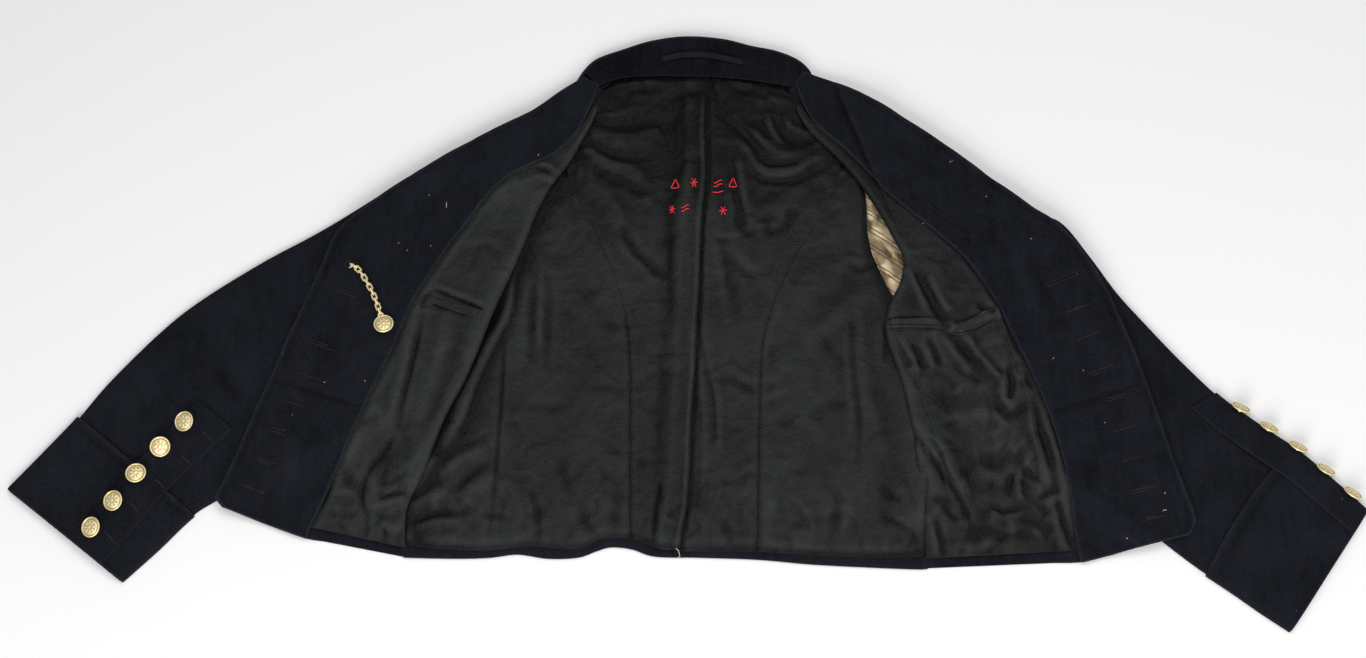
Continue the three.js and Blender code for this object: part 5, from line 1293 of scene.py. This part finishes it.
band_sides = ([4.22, 4.26], [8.0, 7.98])
band_upper = on_front(RIGHT_FRONT, RIGHT_SLEEVE, (10.62, 11.02), band_sides, (90, 14), ON_LINING)
band_across = np.linspace(0, 1, 90)[None]
band_down = np.linspace(0, 1, 14)[:, None]
band_upper[..., 1] -= 8.0 * bell(band_across - 0.38, 0.14) - 6.0 * (1 - smooth_step(band_across, 0.0, 0.3))
band_upper[..., 2] += front_folds("right", band_upper[..., 0], band_upper[..., 1]) + 2.2
band_upper[..., 2] += 2.2 * bell(band_across - 0.12, 0.09) * (1 - band_down)
band_upper[..., 2] -= 0.45 * bell(band_down - 0.82, 0.09)
# Painted highlight: the band is coloured lighter than the lining about it.
band = shell("pocket_band", band_upper, under(band_upper, TAPE), black_sateen, wear_and_edge_highlight=1.0, shaded=-0.35)
sewn_in(band, "pocket_band_right")

welt_upper = on_front(LEFT_FRONT, LEFT_SLEEVE, (8.72, 9.02), ([4.45, 4.45], [7.5, 7.5]), (48, 12), ON_LINING)
welt_upper[..., 2] += front_folds("left", welt_upper[..., 0], welt_upper[..., 1]) + 1.3
welt = shell("slit_welt_left", welt_upper, under(welt_upper, TAPE), black_sateen)
sewn_in(welt, "pocket_welt_left")

on_facing = WOOL + GAP + FACING + GAP + 0.5 + TAPE
welt_sides = ([3.15, 3.15], [3.45, 3.45])
slit_welt_upper = on_front(RIGHT_FRONT, RIGHT_SLEEVE, (4.9, 7.3), welt_sides, (8, 50), on_facing)
slit_welt = shell("slit_welt_right", slit_welt_upper, under(slit_welt_upper, TAPE), navy_wool)
sewn_in(slit_welt, "pocket_welt_right")

# The collar
# A standing collar of wool: its stand lies inner face up, and its fall turns under it at the roll line. A
# loop of black tape for hanging it up is sewn to the stand at both ends.

COLLAR = [
    (-89, 247, -101, 262), (-79, 252, -89, 274.5), (-62, 256.5, -63, 285.5), (-35, 258.5, -34, 295.5),
    (0, 258.5, 1, 300.5), (38, 257, 39, 297.5), (66, 254, 68, 289.5), (90, 250, 94, 283.5),
    (106, 247.5, 115, 273.5), (117, 249.5, 128, 262),
]
STAND_HEIGHT = (8.4, 8.6)
STAND_WALL = 2.4
ROLL_RADIUS = 4.3
FALL_SHOWN = 24.0


def along_collar(table, reach, height):
    """Points at a distance from the neck seam, towards the roll line, at a height: reach and height are
    worked out from the depth of the collar at each station."""
    stations = through(table, np.linspace(0, len(table) - 1, 190))
    seam, roll = stations[:, None, :2], stations[:, None, 2:]
    deep = np.linalg.norm(roll - seam, axis=2)
    out = (roll - seam) / deep[..., None]
    return lifted(seam + out * reach(deep)[..., None], height(deep))


stand_share = np.linspace(0, 1, 34)[None]
stand_rise = STAND_HEIGHT[0] + (STAND_HEIGHT[1] - STAND_HEIGHT[0]) * stand_share
stand_upper = along_collar(
    COLLAR, lambda deep: stand_share * (deep - GAP), lambda deep: stand_rise + 0 * deep)
stand_upper[..., 2] += 0.5 * ripple(stand_upper[..., 0], stand_upper[..., 1], 67, 8, 50.0)
stand_lower = under(stand_upper, STAND_WALL)
# Painted shade: the stand is coloured darker, and it has no painted edge highlight.
stand = shell("collar_stand_wool", stand_upper, stand_lower, navy_wool, wear_and_edge_highlight=0.0, shaded=0.7)
sewn_in(stand, "collar_stand")

fall_angle = np.linspace(0, np.pi, 22)[None]
fall_share = np.linspace(0, 1, 16)[None, 1:]
FALL = [(-98, 238, -108, 250)] + COLLAR[:-1] + [(116, 249.5, 126, 261), (119, 243, 127, 252)]


def fall_face(radius):
    """The fall's section: a half turn at the roll line, and then straight back under the stand."""
    sine, cosine = radius * np.sin(fall_angle), ROLL_RADIUS + radius * np.cos(fall_angle)
    bend = along_collar(FALL, lambda deep: deep + sine, lambda deep: cosine + 0 * deep)
    back = along_collar(
        FALL, lambda deep: deep - np.minimum(FALL_SHOWN, deep - 3.0) * fall_share,
        lambda deep: ROLL_RADIUS - radius + 0 * deep * fall_share)
    return np.concatenate([bend, back], axis=1)


fall = shell("collar_fall_wool", fall_face(ROLL_RADIUS), fall_face(ROLL_RADIUS - STAND_WALL), navy_wool)
sewn_in(fall, "collar_fall")


def woven_tape(name):
    """Narrow black tape: crossed ribs a third of a millimetre apart, with almost no gloss."""
    material, wire, shader = new_finish(name)
    place = wire.node("TexCoord", out=3)
    ribs = wire.node("TexWave", {"bands_direction": "X"}, {"Vector": place, "Scale": 420.0})
    cross = wire.node("TexWave", {"bands_direction": "Y"}, {"Vector": place, "Scale": 420.0})
    grey = wire.noise(place, 200.0, 3.0)
    colour = (ribs * 0.3 + grey * 0.6).held().colours((0.002, 0.0022, 0.0022), (0.013, 0.014, 0.0135))
    bump = (ribs + cross).bump(0.5, 0.0002)
    constants = {"Roughness": 0.8, "Specular IOR Level": 0.15, "Sheen Weight": 0.02}
    return finished(material, shader, constants, {"Base Color": colour, "Normal": bump})


black_tape = woven_tape("black_tape")
HANGER = [(-23, 276), (-2, 280), (18, 280), (38, 277), (59, 272)]
HANGER_WIDTH = 5.4
hanger_line = by_length(HANGER, np.linspace(0, 1, 80))
hanger_share = np.linspace(-0.5, 0.5, 9)[None, :, None]
hanger_flat = hanger_line[:, None] + hanger_share * np.array([0.0, HANGER_WIDTH])
hanger_rise = STAND_HEIGHT[1] + 0.5 + GAP + TAPE + 1.6 * np.sin(np.pi * np.linspace(0, 1, 80))[:, None]
hanger_upper = lifted(hanger_flat, hanger_rise)
hanger = shell("hanger_tape", hanger_upper, under(hanger_upper, TAPE), black_tape)
sewn_in(hanger, "hanger_loop")

# The buttons
# Domed gilt buttons with a rolled rim, pressed from thin brass, on a shank behind. Their faces carry a plain
# rosette of eight petals round a boss.


def gilt_metal(name):
    """Gilded brass, paled by wear on what stands out and brown in the low places, with fine scratches."""
    material, wire, shader = new_finish(name)
    place = wire.node("TexCoord", out=3)
    tarnish = wire.noise(place, 420.0, 5.0, 0.7)
    fine = wire.noise(place, 2600.0, 3.0)
    wear_and_edge_highlight = tarnish.between(0.3, 0.6)
    colour = wear_and_edge_highlight.colours((0.84, 0.64, 0.27), (1.0, 0.88, 0.54))
    recess = (wire.kept("recess") * (tarnish * 0.6 + 0.85)).held()
    colour = colour.towards((0.17, 0.09, 0.02), recess)
    rough = 0.5 - wear_and_edge_highlight * 0.1 + fine * 0.08
    bump = (fine + tarnish).bump(0.12, 0.0002)
    constants = {"Metallic": 0.62, "Specular IOR Level": 0.6}
    return finished(material, shader, constants, {"Base Color": colour, "Roughness": rough, "Normal": bump})


gilt = gilt_metal("gilt")
BUTTON_RADIUS = 9.75


def button_rows(shank_radius, shank_height):
    """The outline of a button from the foot of its shank to the top of its dome: radius and height."""
    r, h = BUTTON_RADIUS, shank_height
    return np.array([
        (0.02, 0.0), (shank_radius, 0.0), (shank_radius, 0.4), (shank_radius, h - 0.3), (r - 2.0, h - 0.1),
        (r - 1.0, h), (r - 0.35, h + 0.2), (r, h + 0.65), (r - 0.1, h + 1.15), (r - 0.45, h + 1.55),
        (r - 0.9, h + 1.7), (r - 1.3, h + 1.5), (r - 1.6, h + 1.0), (r - 1.95, h + 1.0), (r - 2.4, h + 1.4),
        (r - 3.4, h + 1.85), (r - 5.0, h + 2.25), (r - 6.6, h + 2.5), (r - 8.4, h + 2.6), (0.02, h + 2.62),
    ])


def turned_button(name, node, place, axis, shank_radius, shank_height, body):
    """A profile turned about an axis: rings of points. Eight petals, a ring of beads and a boss are raised on
    the dome by bells of the radius and cosines of the angle."""
    profile = by_length(button_rows(shank_radius, shank_height), np.linspace(0, 1, 50))
    profile[:, 0] = np.maximum(profile[:, 0], 0.02)
    around = np.linspace(0, 2 * np.pi, 48, endpoint=False)[None]
    radius, height = profile[:, :1], profile[:, 1:]
    on_dome = smooth_step(height, shank_height + 1.1, shank_height + 1.4) * (radius < BUTTON_RADIUS - 1.7)
    petal = bell(radius - 4.1, 1.5) * np.cos(4 * around) ** 2
    beads = bell(radius - 6.5, 0.45) * (0.6 + 0.4 * np.cos(16 * around))
    boss = bell(radius, 1.3)
    raised = on_dome * (petal + beads + boss)
    z = height + 0.45 * raised
    groove = bell(radius - (BUTTON_RADIUS - 1.75), 0.4) * (height > shank_height + 0.8)
    recess = np.clip(0.75 * groove + on_dome * np.clip(0.42 - raised, 0, 1) * 1.1, 0, 1)
    local = np.stack([radius * np.cos(around), radius * np.sin(around), z + 0 * around], axis=2)
    axis = np.asarray(axis, float) / np.linalg.norm(axis)
    side = np.cross([0.0, 1.0, 0.0] if abs(axis[1]) < 0.9 else [1.0, 0.0, 0.0], axis)
    side /= np.linalg.norm(side)
    turn = np.stack([side, np.cross(axis, side), axis], axis=0)
    points = (local.reshape(-1, 3) @ turn) + np.asarray(place, float)
    rings, count = local.shape[:2]
    numbers = np.arange(rings * count).reshape(rings, count)
    nxt = np.roll(numbers, -1, axis=1)
    faces = np.stack([numbers[:-1], nxt[:-1], nxt[1:], numbers[1:]], axis=2).reshape(-1, 4)
    low, high = numbers[[0, -1]][:, :count // 2], numbers[[0, -1]][:, ::-1][:, :count // 2]
    caps = np.stack([low[:, :-1], low[:, 1:], high[:, 1:], high[:, :-1]], axis=2)
    faces = np.concatenate([faces, caps[0, :, ::-1], caps[1]])
    piece = solid(name, points, faces, gilt, {"recess": recess.ravel()})
    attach(piece, body)
    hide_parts(node)


def middle_of(node):
    """The middle of a solid's box in table millimetres."""
    low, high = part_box(node)
    return (np.array(low) + np.array(high)) / 2 / MM + CENTRE


LEFT_LEANS = np.radians([(-19, 9), (-15, 6), (2, -6), (3, 17), (-18, 8)])
for i, (sideways, towards) in enumerate(LEFT_LEANS):
    node = f"cuff_button_left_{i + 1}"
    axis = np.array([np.sin(sideways), -np.sin(towards), 1.0])
    axis /= np.linalg.norm(axis)
    turned_button(f"dress_button_left_{i + 1}", node, middle_of(node) - 3.4 * axis, axis, 1.6, 3.4, "tunic")

EDGE_LEAN = np.radians(48)
for i in range(5):
    node = f"cuff_button_right_{i + 1}"
    rows = through(RIGHT_SLEEVE, [11.5 - 0.75 * i])
    outward = rows[0, :2] - rows[0, 2:]
    outward /= np.linalg.norm(outward)
    axis = np.array([*(outward * np.sin(EDGE_LEAN)), np.cos(EDGE_LEAN)])
    foot = middle_of(node) - 3.4 * axis - 2.6 * np.array([*outward, 0.3])
    turned_button(f"dress_button_right_{i + 1}", node, foot, axis, 1.6, 3.4, "tunic")

# The closing chain
# Bent brass wire: an eye that stands in a worked eyelet, eleven oval links, a long shackle and a button.

for node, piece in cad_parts.items():
    if node.startswith("chain_") and node != "chain_button":
        piece.data.materials.clear()
        piece.data.materials.append(gilt)
chain_end = middle_of("chain_button")
chain_axis = np.array([0.0, np.sin(np.radians(9)), np.cos(np.radians(9))])
turned_button("chain_end_button", "chain_button", chain_end - 4.7 * chain_axis, chain_axis, 1.0, 5.0, "chain")

# The worked buttonholes, bar marks and sewn marks
# Silk twist is worked round the buttonholes and the chain's eyelet, and rows of short thread marks stay on
# the facings. Small plain signs in red thread are sewn on the back's lining, with a few white ends and lint.


def silk(name, dark, light):
    """Twisted sewing silk: almost no gloss, and darker between its turns."""
    material, wire, shader = new_finish(name)
    place = wire.node("TexCoord", out=3)
    turns = wire.noise(place, 1800.0, 3.0, 0.6)
    bump = turns.bump(0.5, 0.0002)
    constants = {"Roughness": 0.75, "Specular IOR Level": 0.12, "Sheen Weight": 0.0}
    colour = turns.between(0.3, 0.7).colours(dark, light)
    return finished(material, shader, constants, {"Base Color": colour, "Normal": bump})


def resting(cloths, x, y):
    """The height of the cloth at some places: the mean of the four nearest points of its upper face, each by
    one over its squared distance, and of several cloths the highest."""
    best = np.zeros(len(x))
    for name in cloths:
        points = surfaces[name]
        near_x = np.abs(points[:, 0] - x.mean()) < np.ptp(x) / 2 + 8
        near_y = np.abs(points[:, 1] - y.mean()) < np.ptp(y) / 2 + 8
        points = points[near_x & near_y]
        if len(points) < 4:
            continue
        away = np.hypot(points[None, :, 0] - x[:, None], points[None, :, 1] - y[:, None])
        four = np.argpartition(away, 3, axis=1)[:, :4]
        share = 1.0 / (np.take_along_axis(away, four, axis=1) ** 2 + 0.05)
        height = np.sum(points[four, 2] * share, axis=1) / np.sum(share, axis=1)
        best = np.maximum(best, np.where(away.min(axis=1) < 4.0, height, 0.0))
    return best


def threads(name, lines, cloths, finish, radius=0.3, raised=0.1):
    """Short threads that lie on the cloth, in one mesh: each line is a tube of six sides with a fine point at
    both ends, and its radius is the fourth root of one less the sixth power of the place along it."""
    points, faces = [], []
    for line in lines:
        ends = np.asarray(line, float)
        length = np.linalg.norm(np.diff(ends, axis=0), axis=1).sum()
        count = int(np.clip(length / 1.1, 5, 40))
        if len(ends) > 2:
            flat = by_length(ends, np.linspace(0, 1, count))
        else:
            flat = ends[0] + (ends[1] - ends[0]) * np.linspace(0, 1, count)[:, None]
        height = resting(cloths, flat[:, 0], flat[:, 1]) + raised
        spine = np.column_stack([flat, height])
        way = np.gradient(spine, axis=0)
        way /= np.linalg.norm(way, axis=1, keepdims=True)
        side = np.cross(way, [0.0, 0.0, 1.0])
        side /= np.linalg.norm(side, axis=1, keepdims=True)
        up = np.cross(side, way)
        thick = radius * np.maximum(0.08, (1 - np.linspace(-1, 1, count) ** 6) ** 0.25)[:, None, None]
        turn = np.linspace(0, 2 * np.pi, 6, endpoint=False)[None, :, None]
        tube = spine[:, None] + thick * (side[:, None] * np.cos(turn) + up[:, None] * np.sin(turn))
        numbers = np.arange(count * 6).reshape(count, 6) + sum(len(p) for p in points)
        nxt = np.roll(numbers, -1, axis=1)
        walls = np.stack([numbers[:-1], nxt[:-1], nxt[1:], numbers[1:]], axis=2).reshape(-1, 4)
        start_cap = numbers[0, [[3, 2, 1, 0], [5, 4, 3, 0]]]
        end_cap = numbers[-1, [[0, 1, 2, 3], [0, 3, 4, 5]]]
        points.append(tube.reshape(-1, 3))
        faces.append(np.concatenate([walls, start_cap, end_cap]))
    piece = solid(name, np.concatenate(points), np.concatenate(faces), finish, {})
    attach(piece, "tunic")


def rung(start, end, width):
    """The stitches of a worked buttonhole: short threads across both its sides, and a bar at each end."""
    start, end = np.asarray(start, float), np.asarray(end, float)
    way = (end - start) / np.linalg.norm(end - start)
    side = np.array([-way[1], way[0]])
    lines = []
    for place in np.linspace(0.03, 0.97, int(np.linalg.norm(end - start) / 1.15)):
        middle = start + (end - start) * place
        lines.append([middle + side * 0.35 * width, middle + side * width])
        lines.append([middle - side * 0.35 * width, middle - side * width])
    for tip in (start, end):
        lines += [[tip + side * width + way * k, tip - side * width + way * k] for k in (-0.5, 0.5)]
    return lines


twist = silk("grey_twist", (0.013, 0.0145, 0.012), (0.034, 0.036, 0.030))
dark_twist = silk("dark_twist", (0.0012, 0.0013, 0.0015), (0.004, 0.004, 0.0045))
marking = silk("marking_thread", (0.018, 0.017, 0.019), (0.036, 0.034, 0.037))
red_thread = silk("red_sewing_silk", (0.50, 0.018, 0.030), (0.86, 0.045, 0.065))
white_thread = silk("white_thread", (0.50, 0.49, 0.46), (0.80, 0.79, 0.76))

RIGHT_FACING, LEFT_FACING = ["facing_right_wool"], ["facing_left_wool"]
buttonhole = rung((356, 23.5), (385, 35.5), 2.3)
threads("right_buttonhole_twist", buttonhole, RIGHT_FACING, twist, 0.42, 0.25)
# Dark threads stand in for the shadow in the buttonhole's slit: painted shade.
threads("right_buttonhole_painted_shadow", [
    [(358, 24.3), (384, 35.0)], [(358, 23.6), (384, 34.4)], [(366, 28.0), (385, 36.0)],
], RIGHT_FACING, dark_twist, 0.7, 0.1)
eyelet = []
for turn in np.linspace(0, 2 * np.pi, 22, endpoint=False):
    inner_end = (-331 + 2.9 * np.cos(turn), 45.2 + 2.7 * np.sin(turn))
    eyelet.append([inner_end, (-331 + 4.6 * np.cos(turn), 45.2 + 4.3 * np.sin(turn))])
threads("eyelet_twist", eyelet, LEFT_FACING, twist, 0.42, 0.2)
# Dark threads stand in for the shadow inside the eyelet's hole: painted shade.
threads("eyelet_painted_shadow", [[(-333.2, 45.2 + k), (-328.8, 45.2 + k)] for k in (-1.6, -0.8, 0.0, 0.8, 1.6)],
        LEFT_FACING, dark_twist, 0.55, 0.0)

LEFT_CUFF_CLOTHS = ["button_strip_left", "cuff_left_wool", "top_sleeve_left_wool"]
LEFT_BARS = [
    [(-544.5, -225), (-535, -235.5)], [(-524.9, -195.6), (-515, -206.5)],
    [(-502.5, -173.5), (-492.5, -183.5)], [(-481, -149), (-470.5, -158.5)],
    [(-461, -126.5), (-451.5, -135)],
]
threads("left_cuff_buttonholes", LEFT_BARS, LEFT_CUFF_CLOTHS, twist, 0.55, 0.0)
bar_ends = [[(x + 0.3, y - 0.3), (x + 1.8, y - 1.8)] for _, (x, y) in LEFT_BARS]
threads("left_cuff_bar_ends", bar_ends, LEFT_CUFF_CLOTHS, marking, 0.4, 0.2)

right_seam_line = [(351.5, -108), (372, -101), (396, -93.5), (420, -86), (441.5, -78.8)]
threads("right_facing_seam", [right_seam_line], RIGHT_FACING, dark_twist, 0.5, -0.1)
left_seam_line = [(-398.7, -75.3), (-376, -82), (-352, -90), (-330, -97.5), (-311.6, -103.4)]
threads("left_facing_seam", [left_seam_line], LEFT_FACING, dark_twist, 0.5, -0.1)
threads("right_facing_marks", [
    [(377.7, -2.6), (395.1, 2.7)], [(372, -6), (390, 0.5)], [(382.2, -34.1), (404.1, -25.8)],
    [(381, -37), (383, -33)], [(388.4, -69.1), (414.8, -59.1)], [(390, -71.5), (402, -67)],
    [(403, -94.5), (424.1, -89.3)], [(405, -97), (420, -92.5)], [(409.2, -127.7), (429.6, -121.3)],
    [(413.4, -157.6), (435.4, -152.2)], [(419.7, -186.7), (444.8, -181.7)], [(421, -189.5), (436, -186)],
    [(429.1, -216.1), (453, -210.2)], [(432, -213.5), (444, -211)],
], RIGHT_FACING, marking, 0.34)
threads("left_facing_marks", [
    [(-343.2, 18.3), (-321.5, 9.4)], [(-341, 20.5), (-331, 16.4)], [(-361.9, -37), (-339.3, -45.7)],
    [(-358, -35.5), (-346, -40)], [(-373.8, -67.9), (-351.3, -75.3)], [(-384.6, -96.1), (-366.4, -102.8)],
    [(-399.7, -125.1), (-379.7, -132.3)], [(-396, -123), (-386, -126.5)],
    [(-407.8, -154.3), (-385.8, -160.5)], [(-406, -157), (-394, -160.5)],
    [(-420.7, -180), (-398.5, -188.2)], [(-399.8, -184), (-398.4, -189)],
], LEFT_FACING, marking, 0.32)
threads("right_facing_lint", [
    [(355.5, -54), (357, -52.5)], [(342, 72), (343, 73)], [(266, 156.5), (267.5, 157.5)],
    [(235, 88), (236.5, 89)], [(452, -190), (453.5, -188)], [(449, -207), (451, -205), (453, -206)],
    [(413, -232), (415, -232.5)], [(401, -119), (402, -118)], [(300, 118), (301, 119.5)],
    [(384, -66), (385.2, -65)],
], RIGHT_FACING, white_thread, 0.22)
threads("left_facing_lint", [
    [(-148, 164.5), (-147, 166.5)], [(-256, 120), (-255, 120.5)], [(-275, 60), (-274, 61)],
    [(-284, 69), (-283, 68)], [(-252, 66), (-251, 65)], [(-348, -78), (-346.5, -77.5)],
    [(-309, -76), (-308, -77)], [(-238, 113), (-237.4, 109), (-238, 106)],
], LEFT_FACING, white_thread, 0.22)

POCKET = ["pocket_band", "patch_pocket", "lining_front_right_sateen"]
# A thick dark thread stands in for the shadow in the pocket's opening: painted shade.
threads("painted_shadow_of_pocket_opening", [
    [(194, -15.5), (208, -12.5), (224, -11.5), (240, -12.5), (252, -15)],
    [(262, -16), (276, -13), (290, -8), (302, -3)],
], POCKET[1:], dark_twist, 0.9, 0.5)
threads("pocket_band_stitching", [
    [(198, -24.5), (218, -23.8), (240, -24.2), (252, -26)],
    [(264, -28), (278, -26), (292, -19), (303, -12.5)],
    [(197, -20.5), (218, -19.8), (240, -20.2), (250, -21.5)],
], POCKET, dark_twist, 0.42, 0.0)
threads("left_slit_stitching", [
    [(-246, 17.5), (-233, 12.5), (-220, 6.5), (-207, 1), (-196, -4.5)],
    [(-247, 2.5), (-234, -2), (-222, -7), (-213, -10)],
], ["slit_welt_left", "lining_front_left_sateen"], dark_twist, 0.6, 0.1)
threads("right_slit_line", [
    [(223, 119.5), (243, 104), (262, 89.5), (281, 76.5)], [(276, 77.5), (284, 67)],
], ["slit_welt_right", "facing_right_wool"], dark_twist, 0.45, 0.0)

BACK_LINING = ["lining_back_left_half", "lining_back_right_half"]


def sewn_star(x, y, wide, tall):
    """Three strokes of thread that cross in their middles."""
    ways = ((1.0, 0.1), (0.45, 0.9), (-0.55, 0.9))
    return [[(x - wide * a, y - tall * b), (x + wide * a, y + tall * b)] for a, b in ways]


def sewn_triangle(x, y, wide, tall):
    """Three strokes of thread that meet at their ends."""
    at = np.array([x, y]) + np.array([(-1, -0.8), (1, -0.8), (0.15, 1), (-1, -0.8)]) * [wide, tall]
    return [[at[i], at[i + 1]] for i in range(3)]


def sewn_wave(x, y, wide, tall):
    """Two bowed strokes of thread, one above the other."""
    along = np.linspace(-1, 1, 7)
    bow = 0.35 * np.sin(2.6 * along)
    return [np.column_stack([x + wide * along, y + tall * (step + bow)]) for step in (0.45, -0.45)]


red_signs = sewn_triangle(-10, 136, 4.2, 5.6) + sewn_star(9, 136, 4.2, 5.8) + sewn_wave(33, 137, 4.8, 4.6)
red_signs += sewn_triangle(48, 138, 4.2, 5.6) + [[(27, 127.4), (33, 127), (39, 129)]]
red_signs += sewn_star(-13, 108, 3.8, 5.2) + sewn_wave(0, 108, 4.2, 4.4) + sewn_star(38, 107, 4.6, 5.6)
threads("red_sewn_signs", red_signs, BACK_LINING, red_thread, 0.6, 0.35)
threads("white_tacks", [
    [(24.2, 258.4), (26.0, 257.4)], [(-7, -243), (-4.6, -246.6)], [(-9, -241), (-5.5, -243.6)],
    [(-4.4, -247), (-6.8, -248)],
], BACK_LINING + ["back_panel"], white_thread, 0.26, 0.3)
